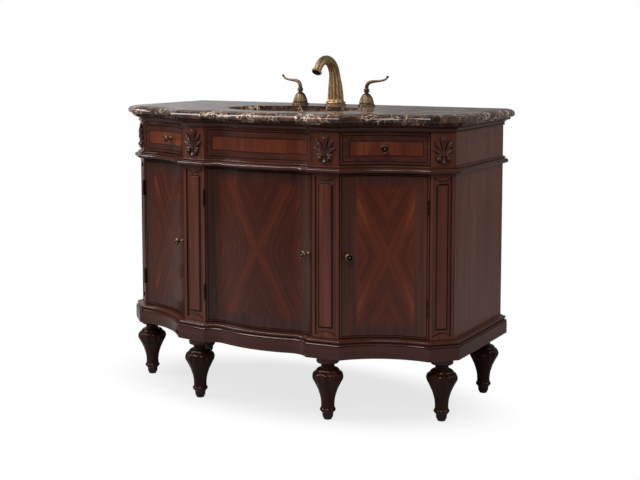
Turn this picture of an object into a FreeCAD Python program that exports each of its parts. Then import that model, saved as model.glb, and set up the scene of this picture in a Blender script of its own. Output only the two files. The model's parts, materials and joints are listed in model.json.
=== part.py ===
import FreeCAD, Part
import math
import os

# Sink chest: serpentine wooden vanity with a marble top, an undermount oval basin and a
# widespread faucet. Millimetres, +Z up, origin on the floor under the middle of the top.
# The plan is drawn with the wall at Y zero and the front at negative Y, then shifted.

V = FreeCAD.Vector
ORIGIN = V(0, 0, 0)
UP = V(0, 0, 1)

# Heights, from the floor up
leg_height = 193.0
apron_height = 39.0
base_moulding_height = 19.5
door_bay_height = 489.5
waist_moulding_height = 24.0
frieze_height = 97.0
cornice_height = 22.0
stone_thickness = 30.0

# Plan of the carcass front: side, outer post, hollow bay, inner post, bow. Widths are shares of
# the half width, the bay's depth a share of its width, and the bow's sizes shares of its half width
carcass_half_width = 572.0
side_depth = 383.4
outer_post_width_share = 0.1364
outer_post_cant = 45.0
bay_width_share = 0.4201
bay_depth_share = 0.468
inner_post_width_share = 0.15
inner_post_cant = 6.2
bow_reach_share = 0.586
bow_sag_share = 0.0837

# Boards
board_thickness = 18.0
post_thickness = 22.0
partition_thickness = 16.0
back_thickness = 9.0
rail_depth = 45.0
front_thickness = 18.0
door_thickness = 20.0
panel_gap = 2.0
false_front_gap = 0.5
partition_setback = 5.0

# Mouldings: how far they stand out of the carcass
apron_overhang = 21.7
apron_joint = 0.4
base_bead_height = 5.0
base_groove_overhang = 13.0
base_groove_step = 0.6
base_groove_height = 1.8
base_round_overhang = 17.5
base_round_height = 9.2
base_fillet_overhang = 8.0
base_top_overhang = 3.0
waist_overhang = 19.0
waist_bead_height = 16.5
waist_bead_root = 6.0
waist_fillet_overhang = 8.0
waist_fillet_height = 4.5
waist_top_overhang = 2.0
cornice_overhang = 23.0
cornice_root = 4.0
cornice_bead = 5.0
cornice_fillet = 4.0
stone_overhang = 38.0
stone_foot_overhang = 24.0
stone_foot_height = 4.5
stone_nose_root = 4.0
stone_nose_bottom = 13.0
stone_nose_height = 2.5
stone_flat_overhang = 13.0
stone_lip = 2.5
curve_steps = 4

# Post faces: sunk panel with a raised field
recess_margin = 11.0
recess_end_margin = 9.5
recess_depth = 5.0
recess_dip = 10.0
recess_shoulder = 3.0
field_margin = 13.5
field_end_margin = 14.0
field_bevel = 5.0

# Carved leaf on the frieze part of each post
leaf_height = 82.0
leaf_width = 60.0
leaf_thickness = 8.0
leaf_lobe_count = 7
leaf_fan = 64.0
leaf_root_height = 20.0
volute_radius = 10.0
leaf_stem_radius = 6.0
leaf_side_length_share = 0.5
leaf_side_width_share = 0.75
leaf_side_depth_share = 0.5
leaf_front_radius_share = 0.5
leaf_lobe_shares = [(0.62, 0.28), (1.0, 0.62), (0.72, 0.88)]

# Legs, turned: rows are (kind, radius share, height share), an arc with its middle point first,
# as shares of the bulb radius and of the wooden height above the glide
leg_bulb_radius = 47.5
leg_inset = 37.2
inner_leg_setback = 21.4
back_leg_inset = 48.5
dowel_radius = 12.0
dowel_length = 30.0
dowel_clearance = 0.2
leg_block_width = 84.0
leg_outline_shares = [
    ("line", (0.33, 0.0)),
    ("line", (0.36, 0.07)),
    ("line", (0.46, 0.10)),
    ("arc", (0.505, 0.122), (0.46, 0.147)),
    ("line", (0.41, 0.162)),
    ("arc", (0.50, 0.338), (0.716, 0.475)),
    ("arc", (0.958, 0.557), (0.989, 0.648)),
    ("arc", (0.926, 0.695), (0.78, 0.722)),
    ("line", (0.78, 0.735)),
    ("arc", (0.705, 0.779), (0.442, 0.789)),
    ("line", (0.432, 0.838)),
    ("arc", (0.484, 0.892), (0.674, 0.898)),
    ("line", (0.716, 0.913)),
    ("line", (0.716, 1.0)),
]
glide_height = 8.0
glide_radius = 13.0
glide_round = 4.0

# Drawers
drawer_wall = 12.0
drawer_bottom = 6.0
drawer_box_height = 70.0
drawer_box_inset = 5.5
drawer_box_back_gap = 60.0
runner_lift = 7.0
runner_ledge_thickness = 10.0
runner_guide_height = 26.0
slide_gap = 0.3

# Doors, hinges and catches
hinge_gap = 2.4
hinge_inset = 95.0
hinge_height = 50.0
hinge_leaf_depth = 15.0
hinge_leaf_thickness = 1.0
hinge_axis_proud = 4.0
knuckle_radius = 3.5
knuckle_gap = 0.4
knuckle_count = 3
pin_radius = 1.75
pin_clearance = 0.05
pin_head_radius = 3.0
pin_head_height = 1.5
strike_width = 20.0
strike_height = 12.0
strike_thickness = 1.0
strike_drop = 3.0
catch_width = 30.0
catch_depth = 16.0
catch_height = 13.0
catch_gap = 0.5
catch_edge_distance = 42.0

# Knobs, turned: rows are (share of the radius, share of the projection)
knob_radius = 12.5
knob_projection = 28.0
knob_seat_gap = 0.5
door_knob_edge_distance = 18.0
knob_outline_shares = [
    (0.72, 0.0),
    (0.72, 0.06),
    (0.38, 0.18),
    (0.32, 0.36),
    (0.50, 0.46),
    (1.00, 0.62),
    (0.96, 0.78),
    (0.62, 0.86),
    (0.54, 0.83),
    (0.30, 0.96),
    (0.0, 1.0),
]

# Basin, hung under the stone: rows are (share of the rim size, share of the depth)
basin_depth = 150.0
basin_wall = 8.0
basin_flange_width = 17.0
basin_flange_thickness = 10.0
basin_reveal = 5.0
basin_gap = 3.2
sink_back_from_wall = 166.0
basin_bowl_shares = [
    (1.0, 0.0),
    (0.985, 0.12),
    (0.93, 0.32),
    (0.82, 0.56),
    (0.64, 0.78),
    (0.42, 0.92),
    (0.19, 1.0),
]
clip_width = 20.0
clip_reach = 16.0
clip_thickness = 3.0
clip_bite = 6.0
clip_gap = 4.0
clip_angle = 45.0

# Drain
drain_radius = 19.0
drain_bore = 15.2
drain_clearance = 0.3
nut_clearance = 0.15
drain_flange_radius = 29.0
drain_flange_thickness = 2.0
drain_body_length = 54.0
locknut_radius = 28.0
locknut_height = 8.0
tailpiece_radius = 15.875
tailpiece_wall = 1.6
tailpiece_neck_length = 20.0
tailpiece_neck_gap = 0.2
tailpiece_length = 140.0
stopper_radius = 21.0
stopper_height = 3.5
stopper_stem_radius = 3.0
stopper_stem_length = 32.0

# Faucet
spout_from_wall = 62.0
handles_from_wall = 81.0
handle_spread = 126.0
spout_base_radius = 36.0
spout_base_height = 12.0
spout_base_shares = [
    (1.0, 0.0),
    (1.0, 0.3),
    (0.82, 0.45),
    (0.80, 0.6),
    (0.90, 0.7),
    (0.90, 0.9),
    (0.84, 1.0),
]
spout_foot_radius = 28.5
spout_neck_radius = 17.0
spout_tip_radius = 13.0
spout_rise = 88.5
spout_lean = 10.0
spout_bend_radius = 62.0
spout_heading = 140.0
spout_tip_length = 16.0
spout_rings = 5
spout_taper_power = 1.3
outlet_radius = 17.0
outlet_height = 7.0
aerator_radius = 9.5
aerator_height = 3.0
bell_radius = 28.5
bell_height = 46.0
bell_outline_shares = [
    ("line", (1.0, 0.0)),
    ("line", (1.0, 0.06)),
    ("line", (0.86, 0.12)),
    ("arc", (0.78, 0.54), (0.40, 0.86)),
    ("line", (0.33, 0.91)),
    ("line", (0.30, 1.0)),
]
lever_hub_radius = 10.5
lever_hub_height = 6.0
lever_gap = 0.3
lever_reach = 74.0
lever_height = 47.0
lever_back_angle = 6.5
lever_ring_shares = [
    (0.00, 0.06, 0.66),
    (0.02, 0.22, 0.72),
    (0.08, 0.42, 0.70),
    (0.19, 0.53, 0.60),
    (0.36, 0.59, 0.47),
    (0.58, 0.65, 0.38),
    (0.79, 0.77, 0.33),
    (0.97, 0.96, 0.29),
]
lever_tip_radius = 3.8
shank_radius = 12.0
shank_hole_clearance = 1.5
shank_length = 84.0
shank_nut_radius = 21.0
shank_nut_height = 9.0
shank_end_radius = 10.45
shank_end_length = 16.0

# Plumbing cut-out in the back panel
cutout_half_width = 150.0
cutout_height = 200.0
cutout_drop = 58.0

# One overrun serves every cut
overrun = 5.0

# Heights worked out from the list above
apron_top = leg_height + apron_height
board_top = apron_top + base_moulding_height
board_bottom = board_top - board_thickness
door_bay_top = board_top + door_bay_height
frieze_bottom = door_bay_top + waist_moulding_height
frieze_top = frieze_bottom + frieze_height
carcass_top = frieze_top + cornice_height
stone_top = carcass_top + stone_thickness


# Small helpers

def box(x_range, y_range, z_range):
    """Box between two limits on each axis."""
    size = [high - low for low, high in (x_range, y_range, z_range)]
    return Part.makeBox(*size, V(x_range[0], y_range[0], z_range[0]))


def mirrored(shape):
    """The same piece on the other side of the middle plane."""
    return shape.mirror(ORIGIN, V(1, 0, 0))


def moved(shape, place):
    """A copy of the shape shifted by a vector."""
    copy = shape.copy()
    copy.translate(place)
    return copy


def turned(shape, degrees):
    """A copy of the shape turned about the vertical through the origin."""
    copy = shape.copy()
    copy.rotate(ORIGIN, UP, degrees)
    return copy


def group(shapes):
    """Separate solids kept together in one node."""
    return Part.makeCompound(shapes)


def fused(shapes):
    """One solid from several that touch or overlap."""
    return shapes[0].multiFuse(shapes[1:]).removeSplitter()


def line(start, end):
    return Part.LineSegment(start, end).toShape()


def arc_about(centre, start, end):
    """Arc from start to end about a centre, the short way round."""
    reach = (start - centre) + (end - centre)
    middle = centre + reach.normalize() * (start - centre).Length
    return Part.Arc(start, middle, end).toShape()


def revolved(edges, closing_points):
    """Solid turned about the vertical from profile edges in the XZ plane."""
    start = edges[0].Vertexes[0].Point
    end = edges[-1].Vertexes[-1].Point
    corners = [end] + closing_points + [start]
    sides = [line(a, b) for a, b in zip(corners, corners[1:]) if (a - b).Length > 0]
    face = Part.Face(Part.Wire(edges + sides))
    return face.revolve(ORIGIN, UP, 360)


def profile_edges(rows, radius, height, base=0.0):
    """Lines and arcs of a turned outline, from rows of shares of a radius and a height."""
    points = [V(share[0] * radius, 0, base + share[1] * height) for row in rows for share in row[1:]]
    edges = []
    index = 0
    last = points[0]
    for row in rows[1:]:
        index += len(row) - 1
        if row[0] == "arc":
            edges.append(Part.Arc(last, points[index - 1], points[index]).toShape())
        else:
            edges.append(line(last, points[index]))
        last = points[index]
    return edges


def polygon_edges(points):
    return [line(a, b) for a, b in zip(points, points[1:])]


# Plan outline of the carcass, right half

cant = math.radians(outer_post_cant)
lean = math.radians(inner_post_cant)
outer_along = V(math.cos(cant), math.sin(cant))
inner_along = V(math.cos(lean), math.sin(lean))
outer_normal = V(math.sin(cant), -math.cos(cant))
inner_normal = V(math.sin(lean), -math.cos(lean))

outer_post_width = carcass_half_width * outer_post_width_share
bay_width = carcass_half_width * bay_width_share
bay_depth = bay_width * bay_depth_share
inner_post_width = carcass_half_width * inner_post_width_share

side_corner = V(carcass_half_width, -side_depth)
outer_edge = side_corner - outer_along * outer_post_width
inner_edge = outer_edge - V(bay_width, bay_depth)
centre_edge = inner_edge - inner_along * inner_post_width

bay_radius = (bay_width ** 2 + bay_depth ** 2) / (2 * bay_depth)
bay_centre = outer_edge - V(0, bay_radius)
bay_turn = math.asin(bay_width / bay_radius)

bow_reach = centre_edge.x * bow_reach_share
bow_sag = centre_edge.x * bow_sag_share
bow_radius = (bow_reach ** 2 + bow_sag ** 2) / (2 * bow_sag)
bow_centre = V(0, centre_edge.y + bow_radius)
bow_turn = V(bow_reach, centre_edge.y + bow_sag)
turn_normal = (bow_turn - bow_centre).normalize()
flank_chord = centre_edge - bow_turn
flank_radius = flank_chord.dot(flank_chord) / (2 * flank_chord.dot(turn_normal))
flank_centre = bow_turn + turn_normal * flank_radius


def line_meets_circle(point, along, centre, radius, near):
    """Where a line cuts a circle, the crossing that lies nearer to a given point."""
    arm = point - centre
    half = arm.dot(along)
    root = math.sqrt(half ** 2 - arm.dot(arm) + radius ** 2)
    crossings = [point + along * (root - half), point - along * (root + half)]
    return min(crossings, key=lambda spot: (spot - near).Length)


def outline_corners(offset):
    """Corners of the right half of the plan, pushed outwards by an offset."""
    outer_line = side_corner + outer_normal * offset
    inner_line = inner_edge + inner_normal * offset
    side_x = carcass_half_width + offset
    side = outer_line + outer_along * ((side_x - outer_line.x) / outer_along.x)
    outer = line_meets_circle(outer_line, outer_along, bay_centre, bay_radius - offset, outer_edge)
    inner = line_meets_circle(inner_line, inner_along, bay_centre, bay_radius - offset, inner_edge)
    centre = line_meets_circle(inner_line, inner_along, flank_centre, flank_radius - offset,
                               centre_edge)
    turn = bow_turn + turn_normal * offset
    return side, outer, inner, centre, turn


def outline_wire(offset, height, back=0.0):
    """Closed plan outline at a height, pushed out by an offset, with its straight back at Y back."""
    lift = V(0, 0, height)
    side, outer, inner, centre, turn = [corner + lift for corner in outline_corners(offset)]
    rear = V(side.x, back, height)
    half = [
        line(rear, side),
        line(side, outer),
        arc_about(bay_centre + lift, outer, inner),
        line(inner, centre),
        arc_about(flank_centre + lift, centre, turn),
    ]
    other_half = [mirrored(edge) for edge in reversed(half)]
    bow = arc_about(bow_centre + lift, turn, V(-turn.x, turn.y, turn.z))
    return Part.Wire(half + [bow] + other_half + [line(V(-rear.x, rear.y, rear.z), rear)])


def outline_solid(offset, z_range, back=0.0):
    """Upright solid with the plan outline."""
    low, high = z_range
    return Part.Face(outline_wire(offset, low, back)).extrude(V(0, 0, high - low))


def front_strip(x_range, z_range, thickness, skin=0.0):
    """Board that follows the carcass front between two X planes."""
    low, high = z_range
    slab = outline_solid(skin, z_range)
    hollow = outline_solid(-thickness, (low - overrun, high + overrun), overrun)
    window = box(x_range, (2 * centre_edge.y, 0), (low - overrun, high + overrun))
    return slab.cut(hollow).common(window)


def front_spot(x):
    """Point on the carcass front at a positive X, with its outward normal."""
    if x < bow_turn.x:
        centre, radius, side = bow_centre, bow_radius, 1
    elif x < centre_edge.x:
        centre, radius, side = flank_centre, flank_radius, -1
    else:
        centre, radius, side = bay_centre, bay_radius, -1
    reach = math.sqrt(radius ** 2 - (x - centre.x) ** 2)
    point = V(x, centre.y - side * reach)
    return point, (point - centre).normalize() * side


def set_on_front(shape, x, height, point_and_normal=None):
    """Put a piece drawn with its back on Y zero, facing -Y, on the carcass front at X."""
    point, normal = point_and_normal or front_spot(abs(x))
    facing = math.degrees(math.atan2(normal.x, -normal.y))
    placed = moved(turned(shape, facing), point + V(0, 0, height))
    return placed if x > 0 else mirrored(placed)


def quarter(start, end, hollow=False):
    """Points of a quarter curve between two (offset, height) points, without the first."""
    points = []
    for step in range(1, curve_steps + 1):
        angle = math.pi / 2 * step / curve_steps
        across, along = math.sin(angle), 1 - math.cos(angle)
        if hollow:
            across, along = along, across
        points.append((start[0] + (end[0] - start[0]) * across,
                       start[1] + (end[1] - start[1]) * along))
    return points


def moulding(profile):
    """Ring round the carcass with a profile of (offset, height) points, open at the wall."""
    wires = [outline_wire(offset, height) for offset, height in profile]
    body = Part.makeLoft(wires, True, True)
    core = outline_solid(0, (profile[0][1] - overrun, profile[-1][1] + overrun), overrun)
    return body.cut(core)


# Plinth and mouldings

def plinth_apron():
    """Flat apron above the legs, with a joint beside each inner leg, and the rail at the wall."""
    ring = moulding([(apron_overhang, leg_height), (apron_overhang, apron_top)])
    joints = []
    for x in (centre_edge.x, -centre_edge.x):
        joints.append(box((x - apron_joint / 2, x + apron_joint / 2),
                          (2 * centre_edge.y, 0),
                          (leg_height - overrun, apron_top + overrun)))
    end = leg_places()["back"].x - leg_block_width / 2
    back_rail = box((-end, end), (-board_thickness, 0), (leg_height, board_bottom))
    return group(ring.cut(group(joints)).Solids + [back_rail])


def base_moulding():
    """Small bead, groove, half round and fillet between the apron and the doors."""
    bead_root = apron_overhang - base_bead_height / 2
    bead_top = apron_top + base_bead_height
    groove = bead_top + base_groove_step
    round_low = (base_groove_overhang, groove + base_groove_height)
    nose = (base_round_overhang, round_low[1] + base_round_height / 2)
    round_top = (base_groove_overhang, round_low[1] + base_round_height)
    profile = [
        (bead_root, apron_top),
        (apron_overhang, apron_top + base_bead_height / 2),
        (bead_root, bead_top),
        (base_groove_overhang, groove),
        round_low,
    ]
    profile += list(reversed(quarter(nose, round_low, hollow=True)[:-1]))
    profile.append(nose)
    profile += quarter(nose, round_top, hollow=True)
    profile.append((base_fillet_overhang, round_top[1] + base_groove_step))
    profile.append((base_top_overhang, board_top))
    return moulding(profile)


def waist_moulding():
    """Half round bead with a fillet above it, between doors and frieze."""
    middle = door_bay_top + waist_bead_height / 2
    bead_top = door_bay_top + waist_bead_height
    low_root = (waist_bead_root, door_bay_top)
    nose = (waist_overhang, middle)
    profile = [low_root]
    profile += list(reversed(quarter(nose, low_root, hollow=True)[:-1]))
    profile.append(nose)
    profile += quarter(nose, (waist_bead_root, bead_top), hollow=True)
    profile.append((waist_fillet_overhang, bead_top + (waist_fillet_overhang - waist_bead_root) / 2))
    profile.append((waist_fillet_overhang, bead_top + waist_fillet_height))
    profile.append((waist_top_overhang, frieze_bottom))
    return moulding(profile)


def cornice_moulding():
    """Cove that carries the stone's overhang."""
    bead_top = frieze_top + cornice_bead
    profile = [
        (cornice_root, frieze_top),
        (cornice_root + cornice_bead / 2, frieze_top + cornice_bead / 2),
        (cornice_root, bead_top),
    ]
    cove_top = (cornice_overhang - cornice_fillet / 2, carcass_top - cornice_fillet)
    profile += quarter(profile[-1], cove_top, hollow=True)
    profile += [(cornice_overhang, carcass_top - cornice_fillet), (cornice_overhang, carcass_top)]
    return moulding(profile)


# Carcass boards

def bottom_board():
    return outline_solid(0, (board_bottom, board_top))


def leg_places():
    """Leg centres on the right half, by name."""
    inner_middle = (inner_edge + centre_edge) / 2
    return {
        "outer": V(carcass_half_width - leg_inset, -side_depth),
        "inner": inner_middle - inner_normal * inner_leg_setback,
        "back": V(carcass_half_width - leg_inset, -back_leg_inset),
    }


def leg_blocks():
    """Blocks under the bottom board, bored for the legs' dowels."""
    inside = outline_solid(0, (leg_height, board_bottom))
    half = leg_block_width / 2
    blocks = []
    for place in leg_places().values():
        block = box((place.x - half, place.x + half), (place.y - half, place.y + half),
                    (leg_height, board_bottom)).common(inside)
        bore = Part.makeCylinder(dowel_radius + dowel_clearance, dowel_length + dowel_clearance,
                                 place + V(0, 0, leg_height))
        block = block.cut(bore)
        blocks += [block, mirrored(block)]
    return group(blocks)


def leg():
    """Turned leg standing on its glide, with the dowel that enters the block."""
    edges = profile_edges(leg_outline_shares, leg_bulb_radius, leg_height - glide_height,
                          glide_height)
    top = edges[-1].Vertexes[-1].Point
    dowel = [V(dowel_radius, 0, top.z), V(dowel_radius, 0, top.z + dowel_length),
             V(0, 0, top.z + dowel_length)]
    foot = edges[0].Vertexes[0].Point
    return revolved(edges, dowel + [V(0, 0, foot.z)])


def foot_glide():
    """Dark rounded glide under a leg."""
    bottom = V(glide_radius - glide_round, 0, 0)
    side = V(glide_radius, 0, glide_round)
    corner = V(bottom.x + glide_round * math.sin(math.pi / 4), 0,
               side.z - glide_round * math.cos(math.pi / 4))
    edges = [Part.Arc(bottom, corner, side).toShape(), line(side, V(side.x, 0, glide_height))]
    return revolved(edges, [V(0, 0, glide_height), ORIGIN])


def side_panel():
    """Right side panel, from the wall to the back of the outer post."""
    return box((carcass_half_width - board_thickness, carcass_half_width),
               (post_back_y(), 0), (board_top, carcass_top))


def post_back_y():
    """Y of the outer post's back edge on the side panel's inner face."""
    back_line = side_corner - outer_normal * post_thickness
    inner_face = carcass_half_width - board_thickness
    return (back_line + outer_along * ((inner_face - back_line.x) / outer_along.x)).y


def back_panel():
    """Back panel between the sides, with the plumbing cut-out."""
    half = carcass_half_width - board_thickness
    panel = box((-half, half), (-back_thickness, 0), (board_top, carcass_top))
    cutout_top = door_bay_top - cutout_drop
    cutout = box((-cutout_half_width, cutout_half_width), (-back_thickness - overrun, overrun),
                 (cutout_top - cutout_height, cutout_top))
    return panel.cut(cutout)


def partition_range():
    """X limits of the right partition, behind the inner post."""
    outer = inner_edge.x - partition_setback
    return outer - partition_thickness, outer


def partition():
    """Right partition between the sink bay and the drawer, behind the inner post."""
    inside = outline_solid(-post_thickness, (board_top, carcass_top))
    return box(partition_range(), (2 * centre_edge.y, -back_thickness),
               (board_top, carcass_top)).common(inside)


def post_blank(corners):
    """Upright post from plan corners."""
    wire = Part.makePolygon([corner + V(0, 0, board_top) for corner in corners + corners[:1]])
    return Part.Face(wire).extrude(V(0, 0, carcass_top - board_top))


def recess(width):
    """Sunk panel with a raised field, to cut from a post face whose width is given."""
    half = width / 2 - recess_margin
    low = board_top + recess_end_margin
    high = door_bay_top - recess_end_margin
    shoulder = half - recess_shoulder
    corners = [V(-half, 0, low), V(-shoulder, 0, low), V(shoulder, 0, low), V(half, 0, low),
               V(half, 0, high), V(shoulder, 0, high), V(-shoulder, 0, high), V(-half, 0, high)]
    edges = [
        line(corners[0], corners[1]),
        Part.Arc(corners[1], V(0, 0, low + recess_dip), corners[2]).toShape(),
        line(corners[2], corners[3]),
        line(corners[3], corners[4]),
        line(corners[4], corners[5]),
        Part.Arc(corners[5], V(0, 0, high - recess_dip), corners[6]).toShape(),
        line(corners[6], corners[7]),
        line(corners[7], corners[0]),
    ]
    sunk = Part.Face(Part.Wire(edges)).extrude(V(0, recess_depth, 0))
    field_half = half - field_margin
    rings = []
    for y, grow in ((0, 0), (recess_depth, field_bevel)):
        x = field_half + grow
        bottom = low + recess_dip + field_end_margin - grow
        top = high - recess_dip - field_end_margin + grow
        ring = [V(-x, y, bottom), V(x, y, bottom), V(x, y, top), V(-x, y, top), V(-x, y, bottom)]
        rings.append(Part.makePolygon(ring))
    return sunk.cut(Part.makeLoft(rings, True, True))


def outer_post():
    """Right outer post, canted, with its sunk panel."""
    thick = post_thickness / math.cos(cant)
    inner_face = carcass_half_width - board_thickness
    blank = post_blank([side_corner, outer_edge, outer_edge + V(0, thick),
                        V(inner_face, post_back_y()), V(carcass_half_width, post_back_y())])
    spot = (side_corner + outer_edge) / 2
    return blank.cut(set_on_front(recess(outer_post_width), spot.x, 0, (spot, outer_normal)))


def inner_post():
    """Right inner post with its sunk panel."""
    thick = V(0, post_thickness / math.cos(lean))
    blank = post_blank([inner_edge, centre_edge, centre_edge + thick, inner_edge + thick])
    spot = (inner_edge + centre_edge) / 2
    return blank.cut(set_on_front(recess(inner_post_width), spot.x, 0, (spot, inner_normal)))


def rails(z_range):
    """Curved rails between the posts: left, centre and right."""
    side_rail = front_strip((inner_edge.x, outer_edge.x), z_range, rail_depth)
    centre_rail = front_strip((-centre_edge.x, centre_edge.x), z_range, rail_depth)
    return group([side_rail, centre_rail, mirrored(side_rail)])


def false_drawer_front():
    """Fixed front over the centre door, where the basin leaves no room for a drawer."""
    edge = centre_edge.x - false_front_gap
    return front_strip((-edge, edge), (frieze_bottom, frieze_top), front_thickness)


def fading(edge_share, place_share):
    """One in the middle of the leaf, falling to a share of that at its outermost lobes."""
    return 1 - abs(place_share) * (1 - edge_share)


def tapered_disc(radius, place):
    """Round boss of the leaf, facing -Y."""
    return Part.makeCone(radius, radius * leaf_front_radius_share, leaf_thickness, place,
                         V(0, -1, 0))


def carved_leaf():
    """Leaf with a fan of lobes over two volutes, drawn facing -Y with its foot at Z zero."""
    pieces = []
    root = V(0, 0, leaf_root_height)
    for index in range(leaf_lobe_count):
        place_share = 2 * index / (leaf_lobe_count - 1) - 1
        angle = place_share * leaf_fan
        length = (leaf_height - leaf_root_height) * fading(leaf_side_length_share, place_share)
        half = leaf_width / leaf_lobe_count * fading(leaf_side_width_share, place_share)
        tip = V(0, 0, length)
        right = [V(half * x, 0, length * z) for x, z in leaf_lobe_shares]
        left = [V(-spot.x, 0, spot.z) for spot in right]
        blade = Part.Wire([Part.Arc(ORIGIN, right[0], right[1]).toShape(),
                           Part.Arc(right[1], right[2], tip).toShape(),
                           Part.Arc(tip, left[2], left[1]).toShape(),
                           Part.Arc(left[1], left[0], ORIGIN).toShape()])
        depth = leaf_thickness * fading(leaf_side_depth_share, place_share)
        lobe = Part.Face(blade).extrude(V(0, -depth, 0))
        lobe.rotate(ORIGIN, V(0, 1, 0), angle)
        pieces.append(moved(lobe, root))
    for side in (1, -1):
        place = V(side * (leaf_width / 2 - volute_radius), 0, volute_radius)
        pieces.append(tapered_disc(volute_radius, place))
    stem = tapered_disc(leaf_stem_radius, V(0, 0, leaf_stem_radius))
    bridge = box((-leaf_width / 2 + volute_radius, leaf_width / 2 - volute_radius),
                 (-leaf_thickness / 2, 0), (0, leaf_root_height))
    return fused(pieces + [stem, bridge])


def carved_leaves():
    """One leaf on the frieze part of each post."""
    leaf = carved_leaf()
    foot = frieze_bottom + (frieze_height - leaf_height) / 2
    leaves = []
    for start, end, normal in ((side_corner, outer_edge, outer_normal),
                               (inner_edge, centre_edge, inner_normal)):
        spot = (start + end) / 2
        placed = set_on_front(leaf, spot.x, foot, (spot, normal))
        leaves += [placed, mirrored(placed)]
    return group(leaves)


# Doors

door_bottom = board_top + panel_gap
door_top = door_bay_top - panel_gap
bay_door_range = (inner_edge.x + panel_gap, outer_edge.x - hinge_gap)
centre_door_range = (-centre_edge.x + hinge_gap, centre_edge.x - panel_gap)


def door(x_range):
    return front_strip(x_range, (door_bottom, door_top), door_thickness)


def knob():
    """Turned knob facing -Y, its seat on Y zero."""
    points = [V(x * knob_radius, 0, z * knob_projection) for x, z in knob_outline_shares]
    body = revolved(polygon_edges(points), [ORIGIN])
    body.rotate(ORIGIN, V(1, 0, 0), 90)
    return moved(body, V(0, -knob_seat_gap, 0))


def hinge_levels():
    """Lower ends of the two hinges of a door."""
    return (door_bottom + hinge_inset - hinge_height / 2, door_top - hinge_inset - hinge_height / 2)


def knuckle_slot():
    return hinge_height / knuckle_count


def hinge_leaf(own_slots, x_low):
    """Hinge leaf in the gap beside a post edge at the origin, with the knuckles it owns."""
    x_range = (x_low, x_low + hinge_leaf_thickness)
    axis = V(-hinge_gap / 2, -hinge_axis_proud)
    bore = pin_radius + pin_clearance
    clear_y = axis.y + knuckle_radius + hinge_leaf_thickness
    pieces = [box(x_range, (clear_y, clear_y + hinge_leaf_depth), (0, hinge_height))]
    for slot in own_slots:
        low = slot * knuckle_slot() + knuckle_gap / 2
        height = knuckle_slot() - knuckle_gap
        pieces.append(Part.makeCylinder(knuckle_radius, height, axis + V(0, 0, low)))
        pieces.append(box(x_range, (axis.y + (bore + knuckle_radius) / 2, clear_y),
                          (low, low + height)))
    hole = Part.makeCylinder(bore, hinge_height + 2 * overrun, axis - V(0, 0, overrun))
    return fused(pieces).cut(hole)


def hinge_pin():
    """Pin that hangs by its head on the top knuckle."""
    axis = V(-hinge_gap / 2, -hinge_axis_proud)
    low = knuckle_gap / 2
    top = hinge_height - knuckle_gap / 2
    shaft = Part.makeCylinder(pin_radius, top - low, axis + V(0, 0, low))
    head = Part.makeCone(pin_head_radius, pin_head_radius / 2, pin_head_height, axis + V(0, 0, top))
    return fused([shaft, head])


def at_hinges(shape, corner):
    """Copies of a hinge piece at the two hinges beside a post edge on the right half."""
    return [moved(shape, corner + V(0, 0, level)) for level in hinge_levels()]


def frame_leaf():
    owned = range(0, knuckle_count, 2)
    return hinge_leaf(owned, -hinge_leaf_thickness)


def door_leaf():
    owned = range(1, knuckle_count, 2)
    return hinge_leaf(owned, -hinge_gap)


def on_all_doors(shape):
    """A hinge piece at both hinges of the right, left and centre door."""
    right = at_hinges(shape, outer_edge)
    centre = [mirrored(piece) for piece in at_hinges(shape, centre_edge)]
    return group(right + [mirrored(piece) for piece in right] + centre)


def strike_plate():
    """Steel plate on the inner face of a door, drawn behind a front spot at the origin."""
    high = door_top - strike_drop
    return box((-strike_width / 2, strike_width / 2),
               (door_thickness, door_thickness + strike_thickness),
               (high - strike_height, high))


def door_catch():
    """Magnetic catch under the middle rail, facing the strike plate."""
    face = door_thickness + strike_thickness + catch_gap
    return box((-catch_width / 2, catch_width / 2), (face, face + catch_depth),
               (door_bay_top - catch_height, door_bay_top))


catch_bay_x = inner_edge.x + catch_edge_distance
catch_centre_x = centre_edge.x - catch_edge_distance


def door_catches():
    right = set_on_front(door_catch(), catch_bay_x, 0)
    centre = set_on_front(door_catch(), catch_centre_x, 0)
    return group([right, mirrored(right), centre])


# Drawers in the frieze of the two bays

drawer_z_range = (frieze_bottom + panel_gap, frieze_top - panel_gap)
drawer_x_range = (inner_edge.x + panel_gap, outer_edge.x - panel_gap)
box_x_range = (inner_edge.x + drawer_box_inset, outer_edge.x - drawer_box_inset)
box_bottom = frieze_bottom + runner_lift


def drawer_front():
    return front_strip(drawer_x_range, drawer_z_range, front_thickness)


def drawer_box():
    """Right drawer box: sides, back and bottom behind the curved front."""
    low_x, high_x = box_x_range
    top = box_bottom + drawer_box_height
    inside = outline_solid(-front_thickness, (box_bottom, top))
    outer = box(box_x_range, (2 * centre_edge.y, -drawer_box_back_gap), (box_bottom, top))
    hollow = box((low_x + drawer_wall, high_x - drawer_wall),
                 (2 * centre_edge.y, -drawer_box_back_gap - drawer_wall),
                 (box_bottom + drawer_bottom, top + overrun))
    return outer.common(inside).cut(hollow)


def drawer_runners():
    """Wooden runners with a ledge under each drawer side and a guide beside it."""
    low_x, high_x = box_x_range
    ledge_top = box_bottom - slide_gap
    ledge = (ledge_top - runner_ledge_thickness, ledge_top)
    guide = (ledge[0], ledge_top + runner_guide_height)
    depth = (2 * centre_edge.y, -drawer_box_back_gap)
    inner_wall = partition_range()[1]
    outer_wall = carcass_half_width - board_thickness
    inside = outline_solid(-rail_depth, (ledge[0], guide[1]))
    inner = fused([box((inner_wall, low_x + drawer_wall), depth, ledge),
                   box((inner_wall, low_x - slide_gap), depth, guide)])
    outer = fused([box((high_x - drawer_wall, outer_wall), depth, ledge),
                   box((high_x + slide_gap, outer_wall), depth, guide)])
    right = [inner.common(inside), outer.common(inside)]
    return group(right + [mirrored(piece) for piece in right])


# Stone and basin. The sink fills the room between the partitions and behind the centre top rail

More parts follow.
